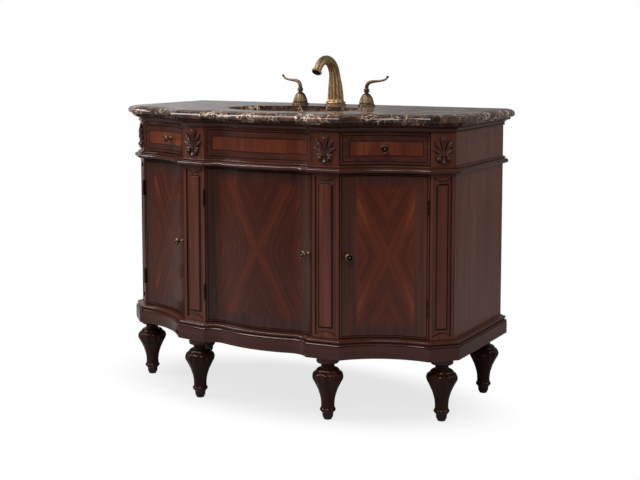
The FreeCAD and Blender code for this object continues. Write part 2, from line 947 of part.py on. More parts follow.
rim_margin = basin_reveal + basin_flange_width
sink_half_width = partition_range()[0] - basin_gap - rim_margin
sink_front_from_wall = -centre_edge.y - rail_depth - basin_gap - rim_margin
sink_half_depth = (sink_front_from_wall - sink_back_from_wall) / 2
basin_centre = V(0, -(sink_front_from_wall + sink_back_from_wall) / 2)


def ellipse_wire(half_width, half_depth, height):
    """Level ellipse about the basin's centre, long along X."""
    curve = Part.Ellipse(basin_centre + V(0, 0, height), half_width, half_depth)
    return Part.Wire([curve.toShape()])


def ellipse_solid(half_width, half_depth, z_range):
    low, high = z_range
    return Part.Face(ellipse_wire(half_width, half_depth, low)).extrude(V(0, 0, high - low))


def faucet_places():
    """Middle of the spout and of the two handles on the stone."""
    handles = [V(x, -handles_from_wall) for x in (handle_spread, -handle_spread)]
    return [V(0, -spout_from_wall)] + handles


def marble_top():
    """Stone slab with an ogee edge, the sink cut-out and the faucet holes."""
    foot_top = carcass_top + stone_foot_height
    nose_root = (stone_foot_overhang + stone_nose_root, foot_top)
    nose_low = (stone_overhang, carcass_top + stone_nose_bottom)
    nose_high = (stone_overhang, carcass_top + stone_nose_bottom + stone_nose_height)
    lip = (stone_flat_overhang + stone_lip, stone_top - stone_lip / 2)
    profile = [(stone_foot_overhang, carcass_top), (stone_foot_overhang, foot_top), nose_root]
    profile += quarter(nose_root, nose_low) + [nose_high]
    profile += quarter(nose_high, lip, hollow=True) + [(stone_flat_overhang, stone_top)]
    slab = Part.makeLoft([outline_wire(offset, height) for offset, height in profile], True, True)
    through = (carcass_top - overrun, stone_top + overrun)
    slab = slab.cut(ellipse_solid(sink_half_width, sink_half_depth, through))
    for place in faucet_places():
        slab = slab.cut(Part.makeCylinder(shank_radius + shank_hole_clearance,
                                          stone_thickness + 2 * overrun,
                                          place + V(0, 0, through[0])))
    return slab


rim_half_width = sink_half_width + basin_reveal
rim_half_depth = sink_half_depth + basin_reveal
bowl_bottom = carcass_top - basin_depth


def bowl_loft(grow, drop):
    """Stack of ellipses from the rim to the bottom, grown and dropped for the outer skin."""
    wires = []
    for size_share, depth_share in basin_bowl_shares:
        height = carcass_top - basin_depth * depth_share - drop
        wires.append(ellipse_wire(rim_half_width * size_share + grow,
                                  rim_half_depth * size_share + grow, height))
    return Part.makeLoft(wires, True, True)


def basin():
    """Oval ceramic bowl with a flat flange and the drain hole."""
    flange = ellipse_solid(rim_half_width + basin_flange_width, rim_half_depth + basin_flange_width,
                           (carcass_top - basin_flange_thickness, carcass_top))
    shell = bowl_loft(basin_wall, basin_wall)
    hole = Part.makeCylinder(drain_radius + drain_clearance, basin_wall + 2 * overrun,
                             basin_centre + V(0, 0, bowl_bottom - basin_wall - overrun))
    return fused([flange, shell]).cut(bowl_loft(0, 0)).cut(hole)


def basin_clips():
    """Clips on the underside of the stone that hold the flange up."""
    half = clip_width / 2
    flange_low = carcass_top - basin_flange_thickness
    foot = box((clip_gap, clip_gap + clip_reach), (-half, half), (flange_low, carcass_top))
    tongue = box((-clip_bite, clip_gap + clip_reach), (-half, half),
                 (flange_low - clip_thickness, flange_low))
    clip = fused([foot, tongue])
    clips = []
    for quadrant in range(4):
        angle = math.radians(clip_angle + 90 * quadrant)
        across = V((rim_half_width + basin_flange_width) * math.cos(angle),
                   (rim_half_depth + basin_flange_width) * math.sin(angle))
        facing = math.degrees(math.atan2(across.y / rim_half_depth ** 2,
                                         across.x / rim_half_width ** 2))
        clips.append(moved(turned(clip, facing), basin_centre + across))
    return group(clips)


# Drain

def ring(outer, inner, z_range):
    """Upright ring about the basin's centre."""
    low, high = z_range
    place = basin_centre + V(0, 0, low)
    hole = Part.makeCylinder(inner, high - low + 2 * overrun, place - V(0, 0, overrun))
    return Part.makeCylinder(outer, high - low, place).cut(hole)


flange_top = bowl_bottom + drain_flange_thickness
drain_body_bottom = bowl_bottom - drain_body_length


def drain_flange():
    """Drain body with its flange on the basin's bottom."""
    place = basin_centre + V(0, 0, bowl_bottom)
    flange = Part.makeCone(drain_flange_radius, drain_flange_radius - drain_flange_thickness,
                           drain_flange_thickness, place)
    body = Part.makeCylinder(drain_radius, drain_body_length,
                             basin_centre + V(0, 0, drain_body_bottom))
    bore = Part.makeCylinder(drain_bore, drain_body_length + 2 * overrun,
                             basin_centre + V(0, 0, drain_body_bottom - overrun))
    return fused([flange, body]).cut(bore)


def drain_locknut():
    top = bowl_bottom - basin_wall
    return ring(locknut_radius, drain_radius + nut_clearance, (top - locknut_height, top))


def drain_tailpiece():
    """Tube under the drain body, where a trap is fitted, with the neck that enters the body."""
    bore = tailpiece_radius - tailpiece_wall
    tube = ring(tailpiece_radius, bore, (drain_body_bottom - tailpiece_length, drain_body_bottom))
    neck = ring(drain_bore - tailpiece_neck_gap, bore,
                (drain_body_bottom, drain_body_bottom + tailpiece_neck_length))
    return fused([tube, neck])


def drain_stopper():
    """Lift-out stopper resting on the drain flange."""
    place = basin_centre + V(0, 0, flange_top)
    cap = Part.makeCone(stopper_radius, stopper_radius - stopper_height, stopper_height, place)
    stem = Part.makeCylinder(stopper_stem_radius, stopper_stem_length,
                             place - V(0, 0, stopper_stem_length))
    return fused([cap, stem])


# Faucet, drawn about the spout's or a handle's own vertical axis, on Z zero

def spout_base():
    """Stepped round base under the spout."""
    points = [V(x * spout_base_radius, 0, z * spout_base_height) for x, z in spout_base_shares]
    return revolved(polygon_edges(points), [V(0, 0, spout_base_height), ORIGIN])


def spout_stations():
    """Centre, heading and radius of the spout's sections, from its foot to its tip."""
    stations = []
    rise_radius = spout_rise / math.sin(math.radians(spout_lean))
    for step in range(spout_rings + 1):
        share = step / spout_rings
        heading = math.radians(spout_lean) * share
        centre = V(0, -rise_radius * (1 - math.cos(heading)), rise_radius * math.sin(heading))
        tapered = share ** spout_taper_power
        radius = spout_foot_radius + (spout_neck_radius - spout_foot_radius) * tapered
        stations.append((centre, heading, radius))
    bend_start, start_heading, _ = stations[-1]
    bend_rings = 2 * spout_rings
    for step in range(1, bend_rings + 1):
        share = step / bend_rings
        heading = start_heading + (math.radians(spout_heading) - start_heading) * share
        forward = math.cos(start_heading) - math.cos(heading)
        upward = math.sin(heading) - math.sin(start_heading)
        centre = bend_start + V(0, -forward, upward) * spout_bend_radius
        radius = spout_neck_radius + (spout_tip_radius - spout_neck_radius) * share
        stations.append((centre, heading, radius))
    last, heading, radius = stations[-1]
    tip = last + V(0, -math.sin(heading), math.cos(heading)) * spout_tip_length
    stations.append((tip, heading, radius))
    return stations


def station_axis(heading):
    return V(0, -math.sin(heading), math.cos(heading))


def circle_wire(radius, centre, axis):
    return Part.Wire([Part.makeCircle(radius, centre, axis)])


def spout():
    """Swan neck spout standing on its base, with a flared outlet."""
    wires = []
    for centre, heading, radius in spout_stations():
        wires.append(circle_wire(radius, centre, station_axis(heading)))
    body = Part.makeLoft(wires, True, True)
    tip, heading, radius = spout_stations()[-1]
    flare = Part.makeCone(radius, outlet_radius, outlet_height / 2, tip, station_axis(heading))
    lip = Part.makeCylinder(outlet_radius, outlet_height / 2,
                            tip + station_axis(heading) * (outlet_height / 2),
                            station_axis(heading))
    return moved(fused([body, flare, lip]), V(0, 0, spout_base_height))


def aerator():
    """Round strainer at the spout's outlet."""
    tip, heading, _ = spout_stations()[-1]
    face = tip + station_axis(heading) * outlet_height + V(0, 0, spout_base_height)
    return Part.makeCylinder(aerator_radius, aerator_height, face, station_axis(heading))


def bell():
    """Bell-shaped handle base."""
    edges = profile_edges(bell_outline_shares, bell_radius, bell_height)
    return revolved(edges, [V(0, 0, bell_height), ORIGIN])


def lever():
    """Curved lever on its round hub, pointing along +X, drawn from the hub's underside."""
    hub = Part.makeCylinder(lever_hub_radius, lever_hub_height)
    start = lever_hub_height / 2
    centres = [V(x * lever_reach, 0, start + z * lever_height) for x, z, _ in lever_ring_shares]
    tip = V(lever_reach, 0, start + lever_height)
    path = centres + [tip]
    wires = []
    for index, (centre, row) in enumerate(zip(centres, lever_ring_shares)):
        before = path[max(index - 1, 0)]
        axis = path[index + 1] - before
        wires.append(circle_wire(row[2] * lever_hub_radius, centre, axis))
    arm = Part.makeLoft(wires, True, True)
    return fused([hub, arm, Part.makeSphere(lever_tip_radius, tip)])


def placed_lever():
    """Right lever on top of its bell, turned a little towards the wall."""
    seat = faucet_places()[1] + V(0, 0, stone_top + bell_height + lever_gap)
    return moved(turned(lever(), lever_back_angle), seat)


def faucet_shanks():
    """Threaded tubes through the stone, each with a reduced end for the supply."""
    shanks = []
    for place in faucet_places():
        body = Part.makeCylinder(shank_radius, shank_length,
                                 place + V(0, 0, stone_top - shank_length))
        end = Part.makeCylinder(shank_end_radius, shank_end_length,
                                place + V(0, 0, stone_top - shank_length - shank_end_length))
        shanks.append(fused([body, end]))
    return group(shanks)


def faucet_nuts():
    """Nuts that clamp the faucet's shanks under the stone."""
    nuts = []
    for place in faucet_places():
        low = place + V(0, 0, carcass_top - shank_nut_height)
        nut = Part.makeCylinder(shank_nut_radius, shank_nut_height, low)
        bore = Part.makeCylinder(shank_radius + nut_clearance, shank_nut_height, low)
        nuts.append(nut.cut(bore))
    return group(nuts)


def at_faucet(shape, index):
    """Put a faucet piece on the stone at the spout or at a handle."""
    return moved(shape, faucet_places()[index] + V(0, 0, stone_top))


# All nodes

def build_nodes():
    nodes = {
        "bottom_board": bottom_board(),
        "leg_blocks": leg_blocks(),
        "plinth_apron": plinth_apron(),
        "base_moulding": base_moulding(),
        "waist_moulding": waist_moulding(),
        "cornice_moulding": cornice_moulding(),
        "back_panel": back_panel(),
        "middle_rails": rails((door_bay_top, frieze_bottom)),
        "top_rails": rails((frieze_top, carcass_top)),
        "false_drawer_front": false_drawer_front(),
        "carved_leaves": carved_leaves(),
        "drawer_runners": drawer_runners(),
        "door_catches": door_catches(),
        "marble_top": marble_top(),
        "basin": basin(),
        "basin_clips": basin_clips(),
        "drain_flange": drain_flange(),
        "drain_locknut": drain_locknut(),
        "drain_tailpiece": drain_tailpiece(),
        "drain_stopper": drain_stopper(),
        "spout": at_faucet(spout(), 0),
        "spout_base": at_faucet(spout_base(), 0),
        "aerator": at_faucet(aerator(), 0),
        "handle_bells": group([at_faucet(bell(), 1), at_faucet(bell(), 2)]),
        "faucet_shanks": faucet_shanks(),
        "faucet_nuts": faucet_nuts(),
        "hinge_frame_leaves": on_all_doors(frame_leaf()),
        "hinge_pins": on_all_doors(hinge_pin()),
    }
    pairs = {
        "side_panel": side_panel(),
        "partition": partition(),
        "outer_post": outer_post(),
        "inner_post": inner_post(),
        "lever": placed_lever(),
        "door": door(bay_door_range),
        "drawer_front": drawer_front(),
        "drawer_box": drawer_box(),
    }
    glides = []
    for name, place in leg_places().items():
        pairs[name + "_leg"] = moved(leg(), place)
        glide = moved(foot_glide(), place)
        glides += [glide, mirrored(glide)]
    nodes["foot_glides"] = group(glides)
    knob_x = inner_edge.x + door_knob_edge_distance
    drawer_x = outer_edge.x - bay_radius * math.sin(bay_turn / 2)
    knob_height = (door_bottom + door_top) / 2
    pairs["door_knob"] = set_on_front(knob(), knob_x, knob_height)
    pairs["drawer_knob"] = set_on_front(knob(), drawer_x, sum(drawer_z_range) / 2)
    strike = strike_plate()
    pairs["door_fittings"] = group(at_hinges(door_leaf(), outer_edge)
                                   + [set_on_front(strike, catch_bay_x, 0)])
    centre_leaves = [mirrored(piece) for piece in at_hinges(door_leaf(), centre_edge)]
    nodes["centre_door"] = door(centre_door_range)
    nodes["centre_door_knob"] = set_on_front(knob(), centre_edge.x - door_knob_edge_distance,
                                             knob_height)
    nodes["centre_door_fittings"] = group(centre_leaves
                                          + [set_on_front(strike, catch_centre_x, 0)])
    for name, shape in pairs.items():
        nodes["right_" + name] = shape
        nodes["left_" + name] = mirrored(shape)
    return nodes


os.makedirs("parts", exist_ok=True)
top_depth = -min(corner.y for corner in outline_corners(stone_overhang))
for node_name, node_shape in build_nodes().items():
    moved(node_shape, V(0, top_depth / 2, 0)).exportStep("parts/" + node_name + ".step")
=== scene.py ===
import cmath
import json
import math

import bmesh
import bpy
from mathutils import Matrix, Vector

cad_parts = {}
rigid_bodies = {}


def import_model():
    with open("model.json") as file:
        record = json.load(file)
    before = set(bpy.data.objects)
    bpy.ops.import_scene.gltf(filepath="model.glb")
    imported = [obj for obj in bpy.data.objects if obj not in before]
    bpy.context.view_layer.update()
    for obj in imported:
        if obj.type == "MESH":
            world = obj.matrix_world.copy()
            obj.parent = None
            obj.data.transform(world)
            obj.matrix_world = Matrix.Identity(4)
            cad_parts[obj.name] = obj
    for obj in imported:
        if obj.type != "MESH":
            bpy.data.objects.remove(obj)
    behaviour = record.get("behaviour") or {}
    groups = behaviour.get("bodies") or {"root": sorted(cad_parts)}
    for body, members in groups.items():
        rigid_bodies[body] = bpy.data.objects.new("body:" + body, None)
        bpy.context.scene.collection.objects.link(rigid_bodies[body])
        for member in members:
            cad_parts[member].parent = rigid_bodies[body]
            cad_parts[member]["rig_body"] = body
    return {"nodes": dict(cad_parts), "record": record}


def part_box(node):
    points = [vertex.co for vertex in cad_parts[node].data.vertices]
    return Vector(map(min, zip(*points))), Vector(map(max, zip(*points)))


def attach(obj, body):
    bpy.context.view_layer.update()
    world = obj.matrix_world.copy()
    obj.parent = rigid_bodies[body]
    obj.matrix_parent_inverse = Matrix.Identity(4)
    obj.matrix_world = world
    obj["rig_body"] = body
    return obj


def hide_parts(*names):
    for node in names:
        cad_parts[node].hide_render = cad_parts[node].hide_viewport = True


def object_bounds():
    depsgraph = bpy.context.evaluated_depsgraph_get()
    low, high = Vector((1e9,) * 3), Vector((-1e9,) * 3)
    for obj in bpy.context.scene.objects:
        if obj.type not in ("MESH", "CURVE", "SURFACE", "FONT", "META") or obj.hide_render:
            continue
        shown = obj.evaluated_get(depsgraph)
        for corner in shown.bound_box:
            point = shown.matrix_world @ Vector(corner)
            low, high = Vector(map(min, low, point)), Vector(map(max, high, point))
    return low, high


# %% [markdown]
# # A serpentine sink chest
#
# A mahogany washstand with a marble top, an oval basin and an antique brass faucet. The packed
# model brings every board, door, drawer and pipe in its real place. This lesson puts the looks on
# it: softened edges, turned and carved pieces, matched veneer, polished stone and aged metal.

# %% Load the frame
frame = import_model()
cad_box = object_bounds()
slot_of = {part["node"]: part["material_slot"] for part in frame["record"]["subparts"]}
print("frame size in metres:", [round(side, 3) for side in cad_box[1] - cad_box[0]])

# %% [markdown]
# ## The camera
#
# A picture of furniture is usually taken with a long lens, far enough away for the upright edges to
# stay nearly upright. The camera is set first, because every later step is judged through it. Its
# place and lens were worked out from the chest's own straight edges.

# %% Camera
picture_width = 640
lens_in_pixels = 1197.5
shift_in_pixels = 77.7
camera_place = Vector((1.9209, -3.2917, 1.1127))
camera_pitch = math.radians(5.58)
camera_yaw = math.radians(29.306)

bpy.ops.object.camera_add(location=camera_place,
                          rotation=(math.pi / 2 - camera_pitch, 0, camera_yaw))
camera = bpy.context.object
camera.data.lens = lens_in_pixels / picture_width * camera.data.sensor_width
camera.data.shift_y = -shift_in_pixels / picture_width
bpy.context.scene.camera = camera
print("lens in millimetres:", round(camera.data.lens, 1))

# %% [markdown]
# ## Helpers for work in edit mode
#
# An operator acts on all that is selected, so each step starts by selecting nothing, and then picks
# vertices by their place. These few helpers do that for every piece below.


# %% Edit mode helpers
weld_distance = 0.00001


def rest_hands():
    """Leave edit mode and select nothing."""
    if bpy.context.object and bpy.context.object.mode != "OBJECT":
        bpy.ops.object.mode_set(mode="OBJECT")
    bpy.ops.object.select_all(action="DESELECT")


def take(piece):
    """Select one piece and make it the active one."""
    rest_hands()
    piece.select_set(True)
    bpy.context.view_layer.objects.active = piece


def open_mesh(piece):
    """Go into edit mode on one piece, with all of its mesh selected."""
    take(piece)
    bpy.ops.object.mode_set(mode="EDIT")
    bpy.ops.mesh.select_all(action="SELECT")


def pick(piece, test):
    """In edit mode, select the vertices whose place passes a test."""
    mesh = bmesh.from_edit_mesh(piece.data)
    for vertex in mesh.verts:
        vertex.select = bool(test(vertex.co))
    mesh.select_flush_mode()
    bmesh.update_edit_mesh(piece.data)


def pick_faces(piece, test):
    """In edit mode, select the faces whose centre and normal pass a test."""
    mesh = bmesh.from_edit_mesh(piece.data)
    for face in mesh.faces:
        face.select = bool(test(face.calc_center_median(), face.normal))
    mesh.select_flush_mode()
    bmesh.update_edit_mesh(piece.data)


def modify(piece, kind, **settings):
    """Add a modifier, set it and apply it."""
    take(piece)
    modifier = piece.modifiers.new(kind.title(), kind)
    for name, value in settings.items():
        setattr(modifier, name, value)
    bpy.ops.object.modifier_apply(modifier=modifier.name)


def settle(piece, place=None, turn=0.0):
    """Move and turn a piece about the vertical, and put that place into its mesh."""
    take(piece)
    piece.matrix_world = (Matrix.Translation(place or Vector()) @ Matrix.Rotation(turn, 4, "Z")
                          @ piece.matrix_world)
    bpy.ops.object.transform_apply(location=True, rotation=True, scale=True)


def tidy_surface(piece, fold_degrees=35):
    """Merge doubles, turn the faces outwards and shade smoothly up to a fold angle."""
    open_mesh(piece)
    bpy.ops.mesh.remove_doubles(threshold=weld_distance)
    bpy.ops.mesh.normals_make_consistent(inside=False)
    bpy.ops.object.mode_set(mode="OBJECT")
    bpy.ops.object.shade_smooth_by_angle(angle=math.radians(fold_degrees))


print("welds vertices closer than", weld_distance, "metres")


# %% Copies, materials and places
def copy_of(piece, name):
    """The same piece again, with its own mesh."""
    twin = bpy.data.objects.new(name, piece.data.copy())
    bpy.context.collection.objects.link(twin)
    return twin


def mirror_of(piece, name):
    """The piece on the other side of the middle plane, with its faces outwards."""
    twin = copy_of(piece, name)
    twin.data.transform(Matrix.Scale(-1, 4, Vector((1, 0, 0))))
    twin.data.flip_normals()
    return twin


def coat(piece, material):
    """Give a piece one material instead of those that it has."""
    piece.data.materials.clear()
    piece.data.materials.append(material)


def hand_over(piece, material, slot, body, *nodes):
    """Give a finished piece its material and its body, and hide the nodes it stands for. The slot
    is not used. Without a material it keeps its own."""
    if material:
        coat(piece, material)
    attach(piece, body)
    if nodes:
        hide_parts(*nodes)


def darken(piece, first, second, test):
    """Give a piece two materials, the second on the faces that pass a test."""
    coat(piece, first)
    piece.data.materials.append(second)
    for face in piece.data.polygons:
        face.material_index = int(test(face.center, face.normal))


def coat_faces(piece, material, test):
    """Add one more material to a piece, on the faces that pass a test."""
    piece.data.materials.append(material)
    for face in piece.data.polygons:
        if test(face.center, face.normal):
            face.material_index = len(piece.data.materials) - 1


def stand_copy(pattern, name, place, slot, body, node):
    """Put a copy of a pattern at a place, given as a matrix, where it stands for a node."""
    copy = copy_of(pattern, name)
    copy.matrix_world = place
    settle(copy)
    hand_over(copy, None, slot, body, node)


def corners_of(piece):
    """Lowest and highest X, Y and Z of a piece's mesh."""
    axes = list(zip(*(vertex.co for vertex in piece.data.vertices)))
    return Vector([min(axis) for axis in axes]), Vector([max(axis) for axis in axes])


def body_of(node):
    return frame["nodes"][node]["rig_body"]


def middle_of(node):
    low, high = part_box(node)
    return (low + high) / 2


def flat_seats(node, count=1):
    """Centre and outward normal of the largest flat faces of a frame piece. Its triangles are
    gathered by their normal and, to a millimetre, by how far their plane is from the origin."""
    areas, sums = {}, {}
    for face in frame["nodes"][node].data.polygons:
        key = tuple(round(value, 2) for value in (*face.normal, face.center.dot(face.normal) * 10))
        areas[key] = areas.get(key, 0.0) + face.area
        sums.setdefault(key, Vector())
        sums[key] += face.center * face.area
    largest = sorted(areas, key=areas.get)[-count:]
    return [(sums[key] / areas[key], Vector(key[:3]).normalized()) for key in largest]


rest_hands()
print("helpers ready")

# %% [markdown]
# ## Materials as arithmetic
#
# A procedural material is a sum of simple patterns. Written as nodes it is hard to read, so a small
# class wraps a socket and lets Python's own operators add the Math nodes. `1 - mask` or
# `grain * 0.4 + clouds` then reads as it would on paper.


# %% A value in a node tree
class Wire:
    """A number or colour in a tree of nodes. Operators on it add Math nodes."""

    def __init__(self, tree, socket):
        self.tree = tree
        self.socket = socket

    def __add__(self, other):
        return self.tree.math("ADD", self, other)

    def __sub__(self, other):
        return self.tree.math("SUBTRACT", self, other)

    def __rsub__(self, other):
        return self.tree.math("SUBTRACT", other, self)

    def __mul__(self, other):
        return self.tree.math("MULTIPLY", self, other)

    def __truediv__(self, other):
        return self.tree.math("DIVIDE", self, other)

    def __pow__(self, other):
        return self.tree.math("POWER", self, other)

    def __abs__(self):
        return self.tree.math("ABSOLUTE", self)

    __radd__ = __add__
    __rmul__ = __mul__


print("values in a tree take + - * / ** and abs")


# %% A tree of nodes
class Tree:
    """A node tree of a material or a world, and the nodes that can be added to it."""

    def __init__(self, tree):
        self.tree = tree

    def node(self, kind, settings, sockets, out=0):
        """Add a node with its settings first, then the values or links of its sockets."""
        made = self.tree.nodes.new(kind)
        for name, value in settings.items():
            if name == "stops":
                set_stops(made.color_ramp, value)
            else:
                setattr(made, name, value)
        for key, value in sockets.items():
            self.feed(made.inputs[key], value)
        return Wire(self, made.outputs[out])

    def feed(self, socket, value):
        if isinstance(value, Wire):
            self.tree.links.new(value.socket, socket)
        else:
            socket.default_value = value

    def math(self, operation, first, second=0.0):
        return self.node("ShaderNodeMath", {"operation": operation}, {0: first, 1: second})

    def place(self, kind="Object"):
        """X, Y and Z: of a surface in metres, or with kind Generated of a direction in a world."""
        spot = self.node("ShaderNodeTexCoord", {}, {}, out=kind)
        split = self.tree.nodes.new("ShaderNodeSeparateXYZ")
        self.feed(split.inputs[0], spot)
        return [Wire(self, socket) for socket in split.outputs]

    def ray(self, kind):
        """One for rays of that kind, such as Is Camera Ray, and nought for others."""
        return self.node("ShaderNodeLightPath", {}, {}, out=kind)

    def mix(self, share, first, second):
        """The first shader where share is nought, and the second where it is one."""
        return self.node("ShaderNodeMixShader", {}, {0: share, 1: first, 2: second})

    def finish(self, output, shader):
        self.feed(self.tree.nodes[output].inputs["Surface"], shader)


print("tree ready")


# %% A material being made
class Paint(Tree):
    """A material with one Principled shader, and the nodes that feed it."""

    def __init__(self, name, finish):
        self.material = bpy.data.materials.new(name)
        self.material.use_nodes = True
        super().__init__(self.material.node_tree)
        self.shader = self.tree.nodes["Principled BSDF"]
        for socket, value in finish.items():
            self.shader.inputs[socket].default_value = value

    def vector(self, x, y, z):
        return self.node("ShaderNodeCombineXYZ", {}, {0: x, 1: y, 2: z})

    def noise(self, x, y, z, detail=2.0):
        """Cloudy noise round a half, of a point whose coordinates are already scaled."""
        return self.node("ShaderNodeTexNoise", {},
                         {"Vector": self.vector(x, y, z), "Scale": 1.0, "Detail": detail})

    def ease(self, value, low, high):
        """Nought below low, one above high, and a smooth rise between them."""
        return self.node("ShaderNodeMapRange", {"interpolation_type": "SMOOTHSTEP"},
                         {0: value, 1: low, 2: high})

    def ramp(self, value, stops):
        return self.node("ShaderNodeValToRGB", {"stops": stops}, {0: value})

    def blend(self, share, first, second):
        return self.node("ShaderNodeMix", {"data_type": "RGBA"}, {0: share, 6: first, 7: second},
                         out=2)

    def bump(self, height, depth):
        """Feed a relief into the shader's normal; depth is in metres."""
        self.feed(self.shader.inputs["Normal"],
                  self.node("ShaderNodeBump", {}, {"Height": height, "Distance": depth}))

    def set(self, **links):
        """Feed sockets of the shader, such as base_color=... or roughness=..."""
        for name, value in links.items():
            self.feed(self.shader.inputs[name.replace("_", " ").title()], value)
        return self.material


def set_stops(ramp, stops):
    """Put (position, colour) stops on a colour ramp."""
    while len(ramp.elements) < len(stops):
        ramp.elements.new(1.0)
    for element, (position, colour) in zip(ramp.elements, stops):
        element.position = position
        element.color = colour


def rgb(red, green, blue):
    """A colour as a picture shows it, from 0 to 255, turned into the light that a shader wants."""
    light = []
    for value in (red, green, blue):
        share = value / 255
        light.append(share / 12.92 if share <= 0.04045 else ((share + 0.055) / 1.055) ** 2.4)
    return (*light, 1.0)


print("paint ready")

# %% [markdown]
# ## Mahogany
#
# The chest is finished in a dark red lacquer. Under it the wood still shows: long streaks along the
# grain, slow clouds of tone, and short pores that catch the light. The streaks are noise that is
# squeezed across the grain and stretched along it. Boards that stand up have their grain upright,
# and mouldings have it lying along their length, so the same recipe is used with its axes swapped.

# %% Wood recipe
lacquer = {"Roughness": 0.3, "IOR": 1.45, "Specular IOR Level": 0.42}
thin_lacquer = {**lacquer, "Specular IOR Level": 0.22}
polished_rough = 0.12
shadow_brown = rgb(38, 17, 12)
deep_brown = rgb(56, 26, 18)
red_brown = rgb(84, 39, 26)


def wood_grain(paint, across, depth, along):
    """Tone from nought to one: fine streaks and slow clouds along the grain."""
    streaks = paint.noise(across * 70, depth * 70, along * 2.6, detail=5)
    clouds = paint.noise(across * 9, depth * 9, along * 1.6, detail=2)
    return streaks * 0.62 + clouds * 0.38


def wood_pores(paint, across, depth, along):
    return paint.noise(across * 900, depth * 900, along * 45, detail=2)


def mahogany(name, upright, stops, least_rough=0.2, shine=lacquer):
    """Lacquered wood with its grain upright, or lying down."""
    paint = Paint(name, shine)
    x, y, z = paint.place()
    if upright:
        axes = (x, y, z)
    else:
        axes = (z, z, x + y)
    tone = wood_grain(paint, *axes)
    pores = wood_pores(paint, *axes)
    paint.bump(pores, 0.00006)
    return paint.set(base_color=paint.ramp(tone, stops), roughness=tone * 0.1 + least_rough)


dark_stops = [(0.30, shadow_brown), (0.5, deep_brown), (0.72, red_brown)]
post_stops = [(0.28, rgb(60, 29, 20)), (0.5, rgb(82, 41, 29)), (0.75, rgb(104, 56, 40))]
leg_stops = [(0.3, rgb(22, 9, 5)), (0.5, rgb(38, 16, 10)), (0.75, rgb(60, 28, 19))]
moulding_stops = [(0.28, rgb(50, 24, 17)), (0.5, rgb(62, 31, 22)), (0.75, rgb(76, 39, 28))]
recess_stops = [(0.3, rgb(22, 11, 8)), (0.7, rgb(42, 21, 15))]
panel_stops = [(0.28, rgb(74, 40, 28)), (0.5, rgb(92, 52, 38)), (0.75, rgb(108, 66, 49))]

upright_mahogany = mahogany("upright_mahogany", True, dark_stops)
post_mahogany = mahogany("post_mahogany", True, post_stops)
leg_mahogany = mahogany("leg_mahogany", True, leg_stops, polished_rough, thin_lacquer)
moulding_mahogany = mahogany("moulding_mahogany", False, moulding_stops, polished_rough)
# Darker mahogany: painted shade in post recesses, bead grooves and leaf hollows; also dark leg
# feet.
recess_glaze = mahogany("recess_glaze", True, recess_stops)
panel_mahogany = mahogany("panel_mahogany", True, panel_stops)
stains = (upright_mahogany, post_mahogany, leg_mahogany, moulding_mahogany, recess_glaze,
          panel_mahogany)
print("mahogany:", [stain.name for stain in stains])

# %% [markdown]
# ## Matched veneer
#
# Each door has a field of flame mahogany in a darker border. Four leaves cut from the same log are
# laid so that their figure meets in a mirror image on both middle lines, which makes the crossed
# arms. In the material the mirror is the absolute value of the distance from each middle line, and
# the flames are streaks that follow the slanting arms.

# %% Veneer recipe
field_stops = [(0.34, rgb(58, 24, 14)), (0.54, rgb(84, 35, 19)), (0.76, rgb(122, 60, 32))]
border_stops = [(0.3, rgb(46, 23, 16)), (0.5, rgb(64, 33, 24)), (0.72, rgb(86, 46, 33))]
stripe_stops = [(0.3, rgb(74, 32, 20)), (0.52, rgb(96, 45, 27)), (0.75, rgb(120, 62, 36))]
arm_slope = 2.3
line_width = 0.0035


def field_edge(paint, aside, above, half_width, half_height, soft_sides, soft_ends):
    """One inside a rectangular field and nought outside it."""
    inside_x = 1 - paint.ease(aside, half_width - soft_sides, half_width + soft_sides)
    inside_z = 1 - paint.ease(above, half_height - soft_ends, half_height + soft_ends)
    return inside_x * inside_z


def door_veneer(name, centre, half_width, half_height, seed, shade_offset=0.0):
    """Border with upright grain, and a quarter matched field about a centre. A shade offset below
    nought paints shade into it and makes it darker."""
    paint = Paint(name, lacquer)
    x, y, z = paint.place()
    aside = abs(x - centre.x)
    above = abs(z - centre.z)
    sway = paint.noise(aside * 9 + seed, above * 5, seed, detail=2) - 0.5
    across = above - aside * arm_slope + sway * 0.09
    along = above + aside / arm_slope
    flames = paint.noise(across * 24 + seed, along * 3.2, seed, detail=3)
    threads = paint.noise(across * 210 + seed, along * 14, seed, detail=3)
    tone = flames * 0.8 + threads * 0.2
    arm = 1 - paint.ease(abs(across + 0.012), 0.0, 0.06)
    sides = paint.ease(aside, half_width * 0.5, half_width)
    # A shade offset below nought paints shade into the field's tone.
    lit = tone * 0.8 + arm * 0.12 + sides * 0.08 + (0.05 + shade_offset)
    field = paint.ramp(lit, field_stops)
    border = paint.ramp(wood_grain(paint, x, y, z) + shade_offset, border_stops)
    mask = field_edge(paint, aside, above, half_width, half_height, 0.004, 0.014)
    colour = paint.blend(mask, border, field)
    paint.bump(threads, 0.00004)
    return paint.set(base_color=colour, roughness=tone * 0.08 + 0.17)


def drawer_veneer(name, centre, half_width, half_height, seed, shade_offset=0.0):
    """Border, a dark line, and a field whose stripes stand upright."""
    paint = Paint(name, lacquer)
    x, y, z = paint.place()
    aside = abs(x - centre.x)
    above = abs(z - centre.z)
    stripes = paint.noise(x * 26 + seed, y * 26, z * 1.8, detail=4)
    threads = paint.noise(x * 240 + seed, y * 240, z * 14, detail=2)
    tone = stripes * 0.75 + threads * 0.25
    # A shade offset below nought paints shade into the field.
    field = paint.ramp(tone + shade_offset, stripe_stops)
    border = paint.ramp(wood_grain(paint, z, y, x), border_stops)
    mask = field_edge(paint, aside, above, half_width, half_height, 0.0012, 0.0012)
    line = field_edge(paint, aside, above, half_width + line_width, half_height + line_width,
                      0.0008, 0.0008) - mask
    colour = paint.blend(mask, border, field)
    colour = paint.blend(line * 0.75, colour, shadow_brown)
    paint.bump(threads, 0.00004)
    return paint.set(base_color=colour, roughness=tone * 0.08 + 0.17)


print("veneer recipes ready")

